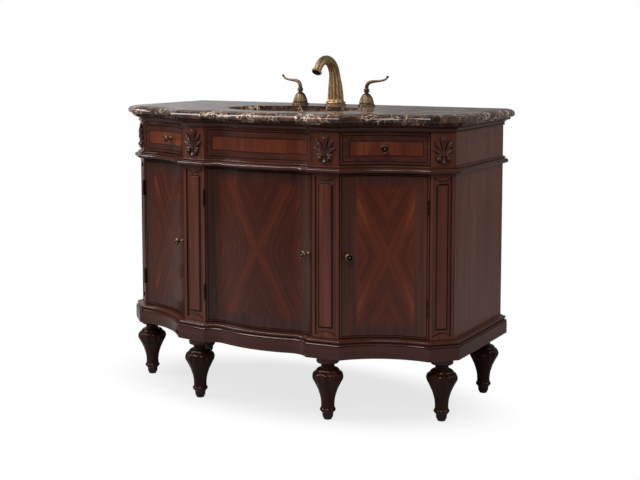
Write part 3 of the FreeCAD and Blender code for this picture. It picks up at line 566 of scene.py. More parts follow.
# %% [markdown]
# ## Marble, porcelain and metals
#
# The stone is a dark brown marble crossed by a net of cream and rust veins, and it is polished.
# The veins are the borders between the cells of a Voronoi pattern, pulled about by noise. Aged
# brass is a warm metal that is bright where hands rub it and dark where they don't reach, and its
# roughness changes with the same pattern.


# %% Marble
def brown_marble():
    paint = Paint("brown_marble", {"IOR": 1.5, "Specular IOR Level": 0.45})
    x, y, z = paint.place()
    drift_x = paint.noise(x * 17, y * 17, z * 17, detail=5) - 0.5
    drift_y = paint.noise(x * 17 + 9, y * 17, z * 17, detail=5) - 0.5
    veins = []
    for scale, pull, width in ((34.0, 0.055, 0.08), (95.0, 0.022, 0.11)):
        net = paint.vector((x + drift_x * pull) * scale, (y + drift_y * pull) * scale,
                           (z + drift_x * pull) * scale)
        edge = paint.node("ShaderNodeTexVoronoi", {"feature": "DISTANCE_TO_EDGE"},
                          {"Vector": net, "Scale": 1.0})
        veins.append(1 - paint.ease(edge, 0.0, width))
    presence = paint.ease(paint.noise(x * 12 + 3, y * 12, z * 12, detail=4), 0.40, 0.62)
    clouds = paint.noise(x * 26, y * 26, z * 26 + 5, detail=6)
    ground = paint.ramp(clouds, [(0.32, rgb(26, 17, 15)), (0.52, rgb(52, 35, 29)),
                                 (0.7, rgb(92, 64, 52))])
    vein_colour = paint.ramp(paint.noise(x * 30, y * 30, z * 30, detail=2),
                             [(0.38, rgb(122, 84, 62)), (0.58, rgb(190, 168, 146))])
    net = veins[0] * 0.9 + veins[1] * presence * 0.8
    colour = paint.blend(paint.ease(net * presence + veins[0] * 0.25, 0.05, 1.0), ground,
                         vein_colour)
    return paint.set(base_color=colour, roughness=clouds * 0.10 + 0.08)


marble = brown_marble()
print("marble:", marble.name)


# %% Porcelain and metals
def porcelain_glaze():
    paint = Paint("porcelain_glaze", {"Roughness": 0.08, "Coat Weight": 0.5})
    x, y, z = paint.place()
    tone = paint.noise(x * 14, y * 14, z * 14, detail=2)
    return paint.set(base_color=paint.ramp(tone, [(0.3, rgb(232, 228, 218)),
                                                  (0.7, rgb(243, 240, 232))]))


def aged_metal(name, dark, mid, bright, roughness):
    """Metal with patches of tarnish and fine brushing."""
    paint = Paint(name, {"Metallic": 1.0})
    x, y, z = paint.place()
    patches = paint.noise(x * 190, y * 190, z * 130, detail=4)
    brushing = paint.noise(x * 800, y * 800, z * 120, detail=2)
    tone = patches * 0.75 + brushing * 0.25
    paint.bump(brushing, 0.00003)
    return paint.set(base_color=paint.ramp(tone, [(0.3, dark), (0.5, mid), (0.72, bright)]),
                     roughness=tone * 0.2 + roughness)


porcelain = porcelain_glaze()
# The third brass is darker; it paints shade into the spout's flute bottoms and outlet.
antique_brass, dull_brass, tarnished_brass, hardware_brass, clip_steel, dark_bronze = (
    aged_metal(name, rgb(*dark), rgb(*mid), rgb(*bright), roughness)
    for name, dark, mid, bright, roughness in (
        ("antique_brass", (142, 113, 81), (177, 146, 107), (212, 182, 140), 0.34),
        ("dull_brass", (84, 68, 51), (110, 91, 70), (142, 121, 97), 0.34),
        ("tarnished_brass", (52, 38, 26), (74, 56, 38), (100, 78, 54), 0.40),
        ("hardware_brass", (40, 30, 20), (66, 50, 32), (104, 82, 54), 0.2),
        ("clip_steel", (120, 120, 122), (160, 160, 162), (196, 196, 198), 0.2),
        ("dark_bronze", (14, 11, 9), (26, 20, 16), (48, 38, 30), 0.25)))
print("metals:", antique_brass.name, dull_brass.name, tarnished_brass.name, hardware_brass.name,
      clip_steel.name, dark_bronze.name)


# %% Inner wood and dark plastic
def inner_wood():
    """Pale poplar of the drawer boxes, rails and back."""
    paint = Paint("inner_wood", {"Roughness": 0.55})
    x, y, z = paint.place()
    tone = wood_grain(paint, x, z, y)
    paint.bump(wood_pores(paint, x, z, y), 0.00008)
    return paint.set(base_color=paint.ramp(tone, [(0.3, rgb(150, 112, 72)),
                                                  (0.7, rgb(190, 152, 106))]))


def moulded_plastic():
    paint = Paint("moulded_plastic", {"Roughness": 0.5})
    x, y, z = paint.place()
    speckle = paint.noise(x * 800, y * 800, z * 800, detail=2)
    paint.bump(speckle, 0.00005)
    return paint.set(base_color=paint.ramp(speckle, [(0.3, rgb(22, 18, 16)),
                                                     (0.7, rgb(38, 32, 28))]))


poplar = inner_wood()
plastic = moulded_plastic()
material_of_slot = {
    "mahogany": upright_mahogany,
    "plain_wood": poplar,
    "marble": marble,
    "porcelain": porcelain,
    "antique_brass": antique_brass,
    "hardware_brass": hardware_brass,
    "steel": clip_steel,
    "dark_plastic": plastic,
}
print("materials by slot:", len(material_of_slot))

# %% [markdown]
# ## Every frame piece gets its finish
#
# A node of the frame whose shape is already right stays where it is, and only its material slots
# are filled. Pieces that are replaced further down are hidden by their replacement.

# %% Finishes on the frame
for node, thing in frame["nodes"].items():
    coat(thing, material_of_slot[slot_of[node]])
print("finished nodes:", len(frame["nodes"]))

# %% [markdown]
# ## Softened edges
#
# A cabinet maker breaks every sharp edge with sandpaper, and the thin line of light on it is what
# makes a board look solid. The frame's meshes are loose triangles, so a copy of each visible board
# is welded, its flat faces are joined, and a small bevel goes along every fold.


# %% Boards with broken edges
board_fold_degrees = 35


def even_shading(piece, fold_degrees):
    """Shade smoothly up to a fold angle, and let the large faces stay flat beside their bevels."""
    take(piece)
    bpy.ops.mesh.customdata_custom_splitnormals_clear()
    bpy.ops.object.shade_smooth_by_angle(angle=math.radians(fold_degrees))
    modify(piece, "WEIGHTED_NORMAL", keep_sharp=True)


def broken_edges(node, material, edge):
    """A welded copy of a frame piece with small bevels, in place of that piece."""
    piece = copy_of(frame["nodes"][node], node + "_finished")
    take(piece)
    bpy.ops.mesh.customdata_custom_splitnormals_clear()
    open_mesh(piece)
    bpy.ops.mesh.remove_doubles(threshold=weld_distance)
    bpy.ops.mesh.dissolve_limited(angle_limit=math.radians(0.3))
    bpy.ops.object.mode_set(mode="OBJECT")
    modify(piece, "BEVEL", width=edge, segments=2, limit_method="ANGLE",
           angle_limit=math.radians(board_fold_degrees), use_clamp_overlap=True)
    even_shading(piece, board_fold_degrees)
    hand_over(piece, material, slot_of[node], body_of(node), node)
    return piece


print("edges break at folds over", board_fold_degrees, "degrees")


# %% Scratched bead
def scratch_bead(piece, inset, groove=0.0024, depth=0.0018):
    """Cut a V groove round the front of a door or drawer, as far in from its edges as given."""
    low, high = corners_of(piece)
    margin = 0.0014

    def on_front(centre, normal):
        return (normal.y < -0.3 and low.x + margin < centre.x < high.x - margin
                and low.z + margin < centre.z < high.z - margin)

    fronts = [face for face in piece.data.polygons if on_front(face.center, face.normal)]
    fronts.sort(key=lambda face: face.center.x)
    # Each edge is a spot on it and the way in from it: bottom and top, then left and right.
    edges = [(low, Vector((0, 0, 1))), (high, Vector((0, 0, -1)))]
    for face, hand, choose in ((fronts[0], 1, min), (fronts[-1], -1, max)):
        corners = [piece.data.vertices[index].co.copy() for index in face.vertices]
        along = Vector((-face.normal.y, face.normal.x, 0)).normalized() * hand
        edges.append((choose(corners, key=lambda spot: spot.x), along))
    take(piece)
    bpy.ops.object.mode_set(mode="EDIT")
    for spot, inward in edges:
        for step in (-1, 0, 1):
            pick_faces(piece, on_front)
            bpy.ops.mesh.bisect(plane_co=spot + inward * (inset + step * groove / 2),
                                plane_no=inward)

    def from_line(spot):
        return min((spot - edge).dot(inward) for edge, inward in edges) - inset

    pick(piece, lambda spot: abs(from_line(spot)) < 0.00002)
    bpy.ops.transform.translate(value=(0, depth, 0))
    bpy.ops.object.mode_set(mode="OBJECT")
    even_shading(piece, 30)
    # Painted shade: the faces inside the groove get the darker mahogany.
    darken(piece, piece.data.materials[0], recess_glaze,
           lambda spot, normal: normal.y < 0 and abs(from_line(spot)) < groove / 2)


print("bead cutter ready")

# %% Case boards and posts
sides = ("left_", "right_")
side_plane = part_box("right_side_panel")[1].x
leaf_seats = flat_seats("carved_leaves", 4)
recess_depth, recess_margin = 0.012, 0.004
for node in ("plinth_apron", "base_moulding", "waist_moulding", "cornice_moulding", "bottom_board",
             "middle_rails"):
    broken_edges(node, moulding_mahogany, 0.0005)
for side in sides:
    broken_edges(side + "side_panel", panel_mahogany, 0.0003)
    for name in ("outer_post", "inner_post"):
        post = broken_edges(side + name, post_mahogany, 0.0010)
        # The leaf on a post lies against its front, so it tells which way the front looks.
        seat, inward = min(leaf_seats,
                           key=lambda pair: (pair[0].xy - middle_of(side + name).xy).length)
        across = Vector((inward.y, -inward.x, 0))
        half_width = max((vertex.co - seat).dot(across) for vertex in post.data.vertices)

        def in_recess(spot, normal):
            """The walls of the sunk panel, but not its floor or the post's corners."""
            return (abs(normal.dot(inward)) < 0.97 and (spot - seat).dot(inward) < recess_depth
                    and abs((spot - seat).dot(across)) < half_width - recess_margin)

        # The walls of the sunk panel get painted shade in the darker mahogany.
        darken(post, post_mahogany, recess_glaze, in_recess)
        coat_faces(post, panel_mahogany, lambda spot, normal: abs(normal.x) > 0.99
                   and abs(spot.x) > side_plane - 0.001)
print("boards finished")

# %% Doors and drawer fronts
door_field_half_height, drawer_field_half_height = 0.204, 0.0198
bay_field_low, bay_field_high = 0.317, 0.470
bay_field_half_width = (bay_field_high - bay_field_low) / 2
centre_field_half_width = 0.143
drawer_field_half_width, false_field_half_width = 0.095, 0.168
door_bead, drawer_bead = 0.0052, 0.0080
front_edge = 0.0012


def veneered_front(node, veneer, bead):
    """A door or drawer front with its veneer, its broken edges and its scratched bead."""
    scratch_bead(broken_edges(node, veneer, front_edge), bead)


# Painted shade: the left door's veneer is darkened by its shade offset.
for side, sign, shade_offset in (("left_", -1, -0.11), ("right_", 1, 0.0)):
    centre = Vector((sign * (bay_field_low + bay_field_high) / 2, 0, middle_of("right_door").z))
    veneer = door_veneer(side + "door_veneer", centre, bay_field_half_width,
                         door_field_half_height, 3.0 + sign, shade_offset)
    veneered_front(side + "door", veneer, door_bead)
# Painted shade: the centre door's veneer is darkened by its shade offset.
veneer = door_veneer("centre_door_veneer", middle_of("centre_door"), centre_field_half_width,
                     door_field_half_height, 7.0, -0.12)
veneered_front("centre_door", veneer, door_bead)

for side in sides:
    front = side + "drawer_front"
    centre = middle_of(front)
    veneer = drawer_veneer(front + "_veneer", centre, drawer_field_half_width,
                           drawer_field_half_height, centre.x)
    veneered_front(front, veneer, drawer_bead)
# Painted shade: the false front's field is darkened by its shade offset.
veneer = drawer_veneer("false_front_veneer", middle_of("false_drawer_front"),
                       false_field_half_width, drawer_field_half_height, 4.0, -0.09)
veneered_front("false_drawer_front", veneer, drawer_bead)
print("doors and fronts finished")

# %% Stone, basin and small hardware
broken_edges("marble_top", marble, 0.0004)
broken_edges("basin", porcelain, 0.001)
for node in ("hinge_frame_leaves", "hinge_pins", "centre_door_fittings", "left_door_fittings",
             "right_door_fittings"):
    broken_edges(node, hardware_brass, 0.0003)
for node in ("drain_flange", "drain_stopper"):
    broken_edges(node, antique_brass, 0.0003)
broken_edges("aerator", dark_bronze, 0.0002)
broken_edges("foot_glides", plastic, 0.0004)
print("stone and hardware finished")

# %% [markdown]
# ## Turning on a lathe
#
# Legs, knobs and faucet parts are all turned: one outline swept round an axis. Here a circle is
# drawn up row by row with extrude and resize, which keeps every vertex in a known column and row.
# That is what makes the next step easy, because gadroons and flutes are nothing but columns that
# are pressed in towards the axis.


# %% Lathe helpers
def arc_rows(start, middle, end, steps=8):
    """Rows on the circle through three rows, without the first of them."""
    a, b, c = (complex(*row) for row in (start, middle, end))
    ratio = (c - a) / (b - a)
    centre = a + (b - a) * (ratio - abs(ratio) ** 2) / (2j * ratio.imag)
    turn = cmath.phase((b - centre) / (a - centre)) + cmath.phase((c - centre) / (b - centre))
    spots = [centre + (a - centre) * cmath.exp(1j * turn * step / steps)
             for step in range(1, steps + 1)]
    return [(spot.real, spot.imag) for spot in spots]


def outline_rows(outline, radius, height):
    """Rows of (radius, height) from shares. A row of four is an arc by its middle and its end."""
    rows = []
    for shares in outline:
        row = [share * (radius, height)[index % 2] for index, share in enumerate(shares)]
        if len(row) == 2:
            rows.append(tuple(row))
        else:
            rows += arc_rows(rows[-1], row[:2], row[2:])
    return rows


def between(stops, spot):
    """Straight lines through (spot, value) stops, level outside them."""
    if spot <= stops[0][0]:
        return stops[0][1]
    for (low, first), (high, second) in zip(stops, stops[1:]):
        if spot <= high:
            return first + (second - first) * (spot - low) / (high - low)
    return stops[-1][1]


def turned(name, rows, segments):
    """A closed turning about the Z axis, drawn up through rows of (radius, height)."""
    rest_hands()
    (radius, height), *others = rows
    bpy.ops.mesh.primitive_circle_add(vertices=segments, radius=radius, fill_type="NGON",
                                      location=(0, 0, height))
    piece = bpy.context.object
    piece.name = name
    bpy.ops.object.transform_apply(location=True)
    bpy.ops.object.mode_set(mode="EDIT")
    bpy.ops.mesh.select_all(action="SELECT")
    for next_radius, next_height in others:
        lift = {"value": (0, 0, next_height - height)}
        bpy.ops.mesh.extrude_region_move(TRANSFORM_OT_translate=lift)
        if next_radius:
            share = next_radius / radius
            bpy.ops.transform.resize(value=(share, share, 1), center_override=(0, 0, next_height))
        else:
            bpy.ops.mesh.merge(type="CENTER")
        radius, height = next_radius, next_height
    tidy_surface(piece)
    return piece


def press(piece, count, segments, depth_at, valley):
    """Press count valleys into a turning. depth_at gives a share of the radius by height, and
    valley the share of that depth by column, from one in a valley to nought on a ridge."""
    columns = segments // count
    heights = sorted({round(vertex.co.z, 5) for vertex in piece.data.vertices})
    open_mesh(piece)
    for height in heights:
        depth = depth_at(height)
        for step in range((columns + 1) // 2) if depth else ():
            def in_column(spot):
                turn = round(math.atan2(spot.y, spot.x) / math.tau * segments) % columns
                return (abs(spot.z - height) < weld_distance
                        and min(turn, columns - turn) == step)
            pick(piece, in_column)
            share = 1 - depth * valley(2 * step / columns)
            bpy.ops.transform.resize(value=(share, share, 1), center_override=(0, 0, height))
    bpy.ops.object.mode_set(mode="OBJECT")


def gadroon(share):
    """Round ridges that meet in sharp valleys."""
    return 1 - math.sin(share * math.pi / 2)


def flute(share):
    """Round valleys that meet in sharp ridges."""
    return math.cos(share * math.pi / 2)


print("lathe ready")

# %% [markdown]
# ## The legs
#
# Six legs, all the same: a small foot, a collar, a long taper that swells into a bulb, a neck and
# a shouldered top. Twelve gadroons are carved on the bulb. They are deepest just under its
# widest part, and run out down the taper. One leg is turned and carved, and the others are copies
# of it. The top is stained like the mouldings, and the foot is nearly black.

# %% Legs
leg_outline = [
    (0.33, 0.0),
    (0.36, 0.07),
    (0.46, 0.10),
    (0.505, 0.122, 0.46, 0.147),
    (0.43, 0.162),
    (0.43, 0.25, 0.50, 0.36),
    (0.62, 0.455),
    (0.74, 0.52),
    (0.88, 0.59),
    (0.97, 0.63),
    (1.00, 0.68, 0.90, 0.735),
    (0.80, 0.750),
    (0.76, 0.755),
    (0.70, 0.787, 0.44, 0.800),
    (0.432, 0.838),
    (0.484, 0.892, 0.674, 0.898),
    (0.716, 0.913),
    (0.716, 1.0),
]
gadroon_depth = [(0.40, 0.0), (0.54, 0.01), (0.60, 0.05), (0.66, 0.10), (0.70, 0.08),
                 (0.74, 0.0)]
gadroon_count = 12
leg_segments = 96
top_share, foot_share = 0.895, 0.115
leg_low, leg_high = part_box("right_outer_leg")
leg_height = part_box("plinth_apron")[0].z - leg_low.z
dowel_radius, dowel_end = 0.012, 0.001
widest_share = max(max(shares[::2]) for shares in leg_outline)
leg_radius = (leg_high.x - leg_low.x) / 2 / widest_share

leg_top = leg_high.z - leg_low.z
dowel_rows = [(dowel_radius, leg_height), (dowel_radius, leg_top - dowel_end),
              (dowel_radius - dowel_end, leg_top)]
leg = turned("leg_pattern", outline_rows(leg_outline, leg_radius, leg_height) + dowel_rows,
             leg_segments)
press(leg, gadroon_count, leg_segments,
      lambda height: between(gadroon_depth, height / leg_height), gadroon)
bpy.ops.object.shade_smooth_by_angle(angle=math.radians(30))
darken(leg, leg_mahogany, moulding_mahogany,
       lambda spot, normal: spot.z > top_share * leg_height)
coat_faces(leg, recess_glaze, lambda spot, normal: spot.z < foot_share * leg_height)
for side in sides:
    for node in (side + "outer_leg", side + "inner_leg", side + "back_leg"):
        spot = middle_of(node)
        stand_copy(leg, node + "_turned", Matrix.Translation((spot.x, spot.y, leg_low.z)),
                   "mahogany", "chest", node)
bpy.data.objects.remove(leg)
print("legs of", round(leg_height * 1000), "mm")

# %% [markdown]
# ## Knobs
#
# The knobs are small brass turnings with a hollowed face and a bead in it. Each has to look
# straight out of a curved front, so its direction is read from the frame piece that it stands
# for: the largest flat face of that piece is its seat.


# %% Knobs
knob_outline = [
    (0.72, 0.0),
    (0.72, 0.05),
    (0.52, 0.07, 0.38, 0.17),
    (0.30, 0.28, 0.42, 0.42),
    (0.60, 0.47, 0.90, 0.56),
    (1.00, 0.65, 0.90, 0.78),
    (0.80, 0.86, 0.68, 0.84),
    (0.60, 0.74),
    (0.34, 0.76),
    (0.25, 0.91, 0.0, 0.97),
]
knob_radius, knob_length = 0.0125, 0.028
knob = turned("knob_pattern", outline_rows(knob_outline, knob_radius, knob_length), 48)
# The hollow between rim and bead is dark bronze, as painted shade.
darken(knob, dull_brass, dark_bronze,
       lambda spot, normal: 0.3 * knob_radius < spot.xy.length < 0.7 * knob_radius
       and spot.z > 0.7 * knob_length)
for node in ("left_door_knob", "right_door_knob", "centre_door_knob", "left_drawer_knob",
             "right_drawer_knob"):
    seat, inward = flat_seats(node)[0]
    place = Matrix.Translation(seat) @ (-inward).to_track_quat("Z", "Y").to_matrix().to_4x4()
    stand_copy(knob, node + "_turned", place, "antique_brass", body_of(node), node)
bpy.data.objects.remove(knob)
print("knobs turned")

# %% [markdown]
# ## The faucet
#
# The spout is a fluted column that leans forward and bends over like a swan's neck. It is easiest
# to turn and flute it while it is straight, and then to bend it along a curve with a Curve
# modifier. The levers are made in the same way.


# %% Bending
def bend_along(piece, stations):
    """Bend an upright piece so that its axis follows a smooth curve through the stations."""
    line = bpy.data.curves.new("bend_line", "CURVE")
    line.dimensions = "3D"
    line.resolution_u = 24
    spline = line.splines.new("BEZIER")
    spline.bezier_points.add(len(stations) - 1)
    for point, station in zip(spline.bezier_points, stations):
        point.co = station
        point.handle_left_type = point.handle_right_type = "AUTO"
    guide = bpy.data.objects.new("bend_line", line)
    bpy.context.collection.objects.link(guide)
    bpy.context.view_layer.update()
    modify(piece, "CURVE", object=guide, deform_axis="POS_Z")
    bpy.data.objects.remove(guide)
    tidy_surface(piece, 30)


def chord_lengths(stations):
    """Distance along the stations, from the first to each of them."""
    lengths = [0.0]
    for before, after in zip(stations, stations[1:]):
        lengths.append(lengths[-1] + (after - before).length)
    return lengths


def heading_vector(heading):
    return Vector((0, -math.sin(heading), math.cos(heading)))


print("bending ready")


# %% Spout's axis
spout_low, spout_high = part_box("spout_base")
spout_place = Vector(((spout_low.x + spout_high.x) / 2, (spout_low.y + spout_high.y) / 2,
                      spout_low.z))
spout_base_radius = (spout_high.x - spout_low.x) / 2
spout_base_height = spout_high.z - spout_low.z
foot_radius, neck_radius, tip_radius, lip_radius = 0.0280, 0.0190, 0.0130, 0.0170
spout_lean, spout_heading = math.radians(10), math.radians(140)
spout_rise, bend_radius, tip_length = 0.0872, 0.062, 0.016

# The spout's axis, walked in short steps: a slight lean, the bend, and a straight tip.
spout_stations = [Vector()]
headings = [0.0]
rise_length = spout_rise / math.sin(spout_lean) * spout_lean
bend_length = bend_radius * (spout_heading - spout_lean)
for length, count, turn in ((rise_length, 6, spout_lean),
                            (bend_length, 14, spout_heading - spout_lean), (tip_length, 2, 0)):
    for _ in range(count):
        middle_heading = headings[-1] + turn / count / 2
        headings.append(headings[-1] + turn / count)
        spout_stations.append(spout_stations[-1]
                              + heading_vector(middle_heading) * length / count)
spout_length = rise_length + bend_length + tip_length
print("spout length in mm:", round(spout_length * 1000))

# %% Spout's outline
lip_start = spout_length - 0.002
radius_stops = [(0, foot_radius), (0.25 * rise_length, 0.0268), (0.6 * rise_length, 0.0238),
                (rise_length, neck_radius), (rise_length + bend_length, tip_radius),
                (lip_start, tip_radius)]
spout_steps = 60
spout_rows = []
for step in range(spout_steps + 1):
    length = lip_start * step / spout_steps
    spout_rows.append((between(radius_stops, length), length))
for share, rise in ((0.92, 0.001), (1, 0.0022), (1, 0.0052), (0.93, 0.0066), (0.80, 0.007),
                    (0.74, 0.0055), (0.72, 0.001)):
    spout_rows.append((lip_radius * share, spout_length + rise))
flute_depth = [(0.002, 0.0), (0.006, 0.13), (rise_length, 0.11),
               (rise_length + 0.35 * bend_length, 0.04), (spout_length - 0.03, 0.02),
               (spout_length - 0.006, 0.0)]
print("spout rows:", len(spout_rows))

# %% Spout, turned and bent
spout_segments = 120
flute_count = 12
spout = turned("spout_turned", spout_rows, spout_segments)


def in_mouth(spot, normal):
    """The hollow of the outlet, inside its lip."""
    return spot.xy.length < 0.82 * lip_radius and spot.z > spout_length - 0.0012


def in_groove(spot, normal):
    """The bottom of a flute, which gets painted shade."""
    columns = spout_segments // flute_count
    column = math.floor(math.atan2(spot.y, spot.x) / math.tau * spout_segments) % columns
    return column in (0, columns - 1) and 0.004 < spot.z < rise_length + 0.5 * bend_length


# Painted shade: the outlet's hollow and the flute bottoms get the darker brass.
darken(spout, antique_brass, tarnished_brass,
       lambda spot, normal: in_mouth(spot, normal) or in_groove(spot, normal))
press(spout, flute_count, spout_segments, lambda height: between(flute_depth, height), gadroon)
bend_along(spout, spout_stations)
settle(spout, spout_place + Vector((0, 0, spout_base_height)))
hand_over(spout, None, "antique_brass", "chest", "spout")
print("spout bent")

# %% Base of the spout
base_outline = [
    (1.0, 0.0),
    (1.0, 0.22),
    (0.96, 0.30, 0.88, 0.34),
    (0.84, 0.40, 0.86, 0.48),
    (0.93, 0.56, 0.93, 0.70),
    (0.90, 0.84, 0.80, 0.88),
    (0.74, 0.90, 0.73, 1.0),
]
base_rows = outline_rows(base_outline, spout_base_radius, spout_base_height)
base = turned("spout_base_turned", base_rows, 96)
settle(base, spout_place)
hand_over(base, antique_brass, "antique_brass", "chest", "spout_base")
print("spout base turned")

# %% Bells under the levers
bell_outline = [
    (1.0, 0.0),
    (1.0, 0.075),
    (0.97, 0.11, 0.90, 0.12),
    (0.84, 0.13),
    (0.86, 0.19, 0.81, 0.34),
    (0.67, 0.60, 0.43, 0.825),
    (0.28, 0.89, 0.20, 0.93),
    (0.20, 0.95),
    (0.27, 0.97, 0.26, 1.0),
]
bell_low, bell_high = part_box("handle_bells")
bell_radius = (bell_high.y - bell_low.y) / 2
bell_height = bell_high.z - bell_low.z
rib_depth = [(0.11, 0.0), (0.18, 0.05), (0.6, 0.06), (0.8, 0.0)]
rib_count, bell_segments = 16, 96
bell_rows = outline_rows(bell_outline, bell_radius, bell_height)
bell = turned("right_bell_turned", bell_rows, bell_segments)
press(bell, rib_count, bell_segments, lambda height: between(rib_depth, height / bell_height),
      flute)
bpy.ops.object.shade_smooth_by_angle(angle=math.radians(30))
bell_place = Vector((bell_high.x - bell_radius, (bell_low.y + bell_high.y) / 2, bell_low.z))
settle(bell, bell_place)
for turned_bell in (bell, mirror_of(bell, "left_bell_turned")):
    hand_over(turned_bell, dull_brass, "antique_brass", "chest", "handle_bells")
print("bells turned")

# %% Lever's outline
# Each row is the arm's distance from the hub's axis, its height and its radius.
lever_rows = [
    (0.0000, 0.0060, 0.0068),
    (0.0000, 0.0140, 0.0062),
    (0.0020, 0.0225, 0.0062),
    (0.0070, 0.0290, 0.0060),
    (0.0150, 0.0325, 0.0054),
    (0.0280, 0.0345, 0.0045),
    (0.0430, 0.0360, 0.0038),
    (0.0570, 0.0385, 0.0034),
    (0.0670, 0.0425, 0.0032),
    (0.0722, 0.0480, 0.0030),
]
hub_outline = [
    (1.0, 0.0),
    (1.0, 0.18),
    (0.86, 0.26, 0.72, 0.42),
    (0.95, 0.60, 0.80, 0.86),
    (0.62, 1.0),
]
arm_start = 0.006
arm_steps = 40
hub_radius = hub_height = 0.0105
ball_radius = 0.0040
ball_offset = Vector((0.0008, 0, 0.0078))
lever_turn = math.radians(6.5)

arm_stations = [Vector((across, 0, height - arm_start)) for across, height, _ in lever_rows]
arm_lengths = chord_lengths(arm_stations)
arm_stops = [(length, radius) for length, (_, _, radius) in zip(arm_lengths, lever_rows)]
arm_rows = []
for step in range(arm_steps + 1):
    length = arm_lengths[-1] * step / arm_steps
    arm_rows.append((between(arm_stops, length), length))
print("lever arm in mm:", round(arm_lengths[-1] * 1000))

# %% Levers
arm = turned("lever_arm", arm_rows, 32)
bend_along(arm, arm_stations)
settle(arm, Vector((0, 0, arm_start)))
hub = turned("lever_hub", outline_rows(hub_outline, hub_radius, hub_height), 48)
rest_hands()
bpy.ops.mesh.primitive_uv_sphere_add(segments=24, ring_count=16, radius=ball_radius,
                                     location=arm_stations[-1] + ball_offset)
ball = bpy.context.object
ball.name = "lever_ball"
bpy.ops.object.transform_apply(location=True)
bpy.ops.object.shade_smooth()
hub.data.materials.append(dull_brass)
arm.data.materials.append(dull_brass)
ball.data.materials.append(dark_bronze)
take(arm)
hub.select_set(True)
ball.select_set(True)
bpy.ops.object.join()
lever = bpy.context.object
lever.name = "right_lever_turned"
lever_low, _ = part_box("right_lever")
settle(lever, Vector((bell_place.x, bell_place.y, lever_low.z)), lever_turn)
other_lever = mirror_of(lever, "left_lever_turned")
for node, piece in (("right_lever", lever), ("left_lever", other_lever)):
    hand_over(piece, None, "antique_brass", node, node)
print("levers made")

# %% [markdown]
# ## Carved leaves
#
# Each post carries an acanthus leaf on its frieze part: a middle lobe that curls over at the top,
# three pairs of fingers that fan out from a stem, and a scroll with a bead at each lower corner.
# Every lobe is a sphere stretched into a finger with a groove down its front. The lobes are joined
# and remeshed into one skin, which is smoothed a little, as sandpaper would, and cut flat behind.


# %% Leaf finger
def finger(name, length, width, thick, droop, curl):
    """A leaf's finger that stands on the origin: droop bends its tip sideways, curl forwards."""
    rest_hands()
    bpy.ops.mesh.primitive_uv_sphere_add(segments=24, ring_count=20, radius=1)
    piece = bpy.context.object
    piece.name = name
    open_mesh(piece)
    bpy.ops.transform.resize(value=(width / 2, thick, length / 2))
    bpy.ops.transform.translate(value=(0, 0, length / 2))
    pick(piece, lambda spot: abs(spot.x) < 0.0001 and spot.y < 0)
    bpy.ops.transform.translate(value=(0, thick * 0.3, 0))
    heights = sorted({round(vertex.co.z, 5) for vertex in bmesh.from_edit_mesh(piece.data).verts})
    for height in heights:
        share = height / length
        pick(piece, lambda spot: abs(spot.z - height) < weld_distance)
        waist = 0.35 + 0.65 * min(1.0, share * 1.6)
        bpy.ops.transform.resize(value=(waist, 1, 1), center_override=(0, 0, height))
        bpy.ops.transform.translate(value=(droop * share ** 2, -curl * share ** 3,
                                           -abs(droop) * 0.35 * share ** 3))
    bpy.ops.object.mode_set(mode="OBJECT")
    return piece


def lean(piece, angle, root):
    """Tip a finger over by an angle and stand it on its root."""
    piece.matrix_world = Matrix.Translation(root) @ Matrix.Rotation(math.radians(angle), 4, "Y")
    take(piece)
    bpy.ops.object.transform_apply(location=True, rotation=True)
    return piece


print("leaf fingers ready")

# %% Leaf
# Each finger is its angle in degrees, length, width, thickness, droop and the height of its root.
fingers = [
    (24, 0.054, 0.0140, 0.0092, 0.0045, 0.023),
    (45, 0.042, 0.0140, 0.0086, 0.0050, 0.020),
    (72, 0.026, 0.0120, 0.0070, 0.0040, 0.019),
]
root_aside = 0.002
stem_rows = [(0.0090, 0.0), (0.0080, 0.002), (0.0042, 0.008), (0.0034, 0.016), (0.0038, 0.028),
             (0.0042, 0.040), (0.0032, 0.054), (0.001, 0.060)]

lobes = [lean(finger("middle_lobe", 0.050, 0.021, 0.0088, 0, 0.0030), 0, Vector((0, 0, 0.031)))]
for hand in (-1, 1):
    for angle, length, width, thick, droop, root in fingers:
        lobe = finger("finger", length, width, thick, hand * droop, 0.0020)
        lobes.append(lean(lobe, hand * angle, Vector((hand * root_aside, 0, root))))
    rest_hands()
    bpy.ops.mesh.primitive_uv_sphere_add(segments=24, ring_count=16, radius=0.0072,
                                         location=(hand * 0.0155, -0.0042, 0.0120))
    lobes.append(bpy.context.object)
    scroll = finger("scroll_arm", 0.018, 0.0060, 0.0046, hand * 0.006, 0.0005)
    lobes.append(lean(scroll, hand * 100, Vector((hand * root_aside, 0, 0.0075))))
rest_hands()
bpy.ops.mesh.primitive_torus_add(major_radius=0.0086, minor_radius=0.0030, major_segments=40,
                                 minor_segments=14, location=(0, -0.0040, 0.0715),
                                 rotation=(math.pi / 2, 0, 0))
lobes.append(bpy.context.object)
stem = turned("stem", stem_rows, 24)
stem.matrix_world = Matrix.Translation((0, -0.0024, 0))
lobes.append(stem)
for lobe in lobes:
    lobe.select_set(True)
bpy.context.view_layer.objects.active = lobes[0]
bpy.ops.object.transform_apply(location=True, rotation=True)
bpy.ops.object.join()
leaf = bpy.context.object
leaf.name = "leaf_pattern"
modify(leaf, "REMESH", mode="VOXEL", voxel_size=0.0007)
modify(leaf, "SMOOTH", factor=0.5, iterations=2)
open_mesh(leaf)
bpy.ops.mesh.bisect(plane_co=(0, 0, 0), plane_no=(0, 1, 0), clear_outer=True, use_fill=True)
bpy.ops.object.mode_set(mode="OBJECT")
tidy_surface(leaf, 60)
leaf_low, leaf_high = corners_of(leaf)
print("leaf in mm:", [round(side * 1000, 1) for side in leaf_high - leaf_low],
      "faces:", len(leaf.data.polygons))
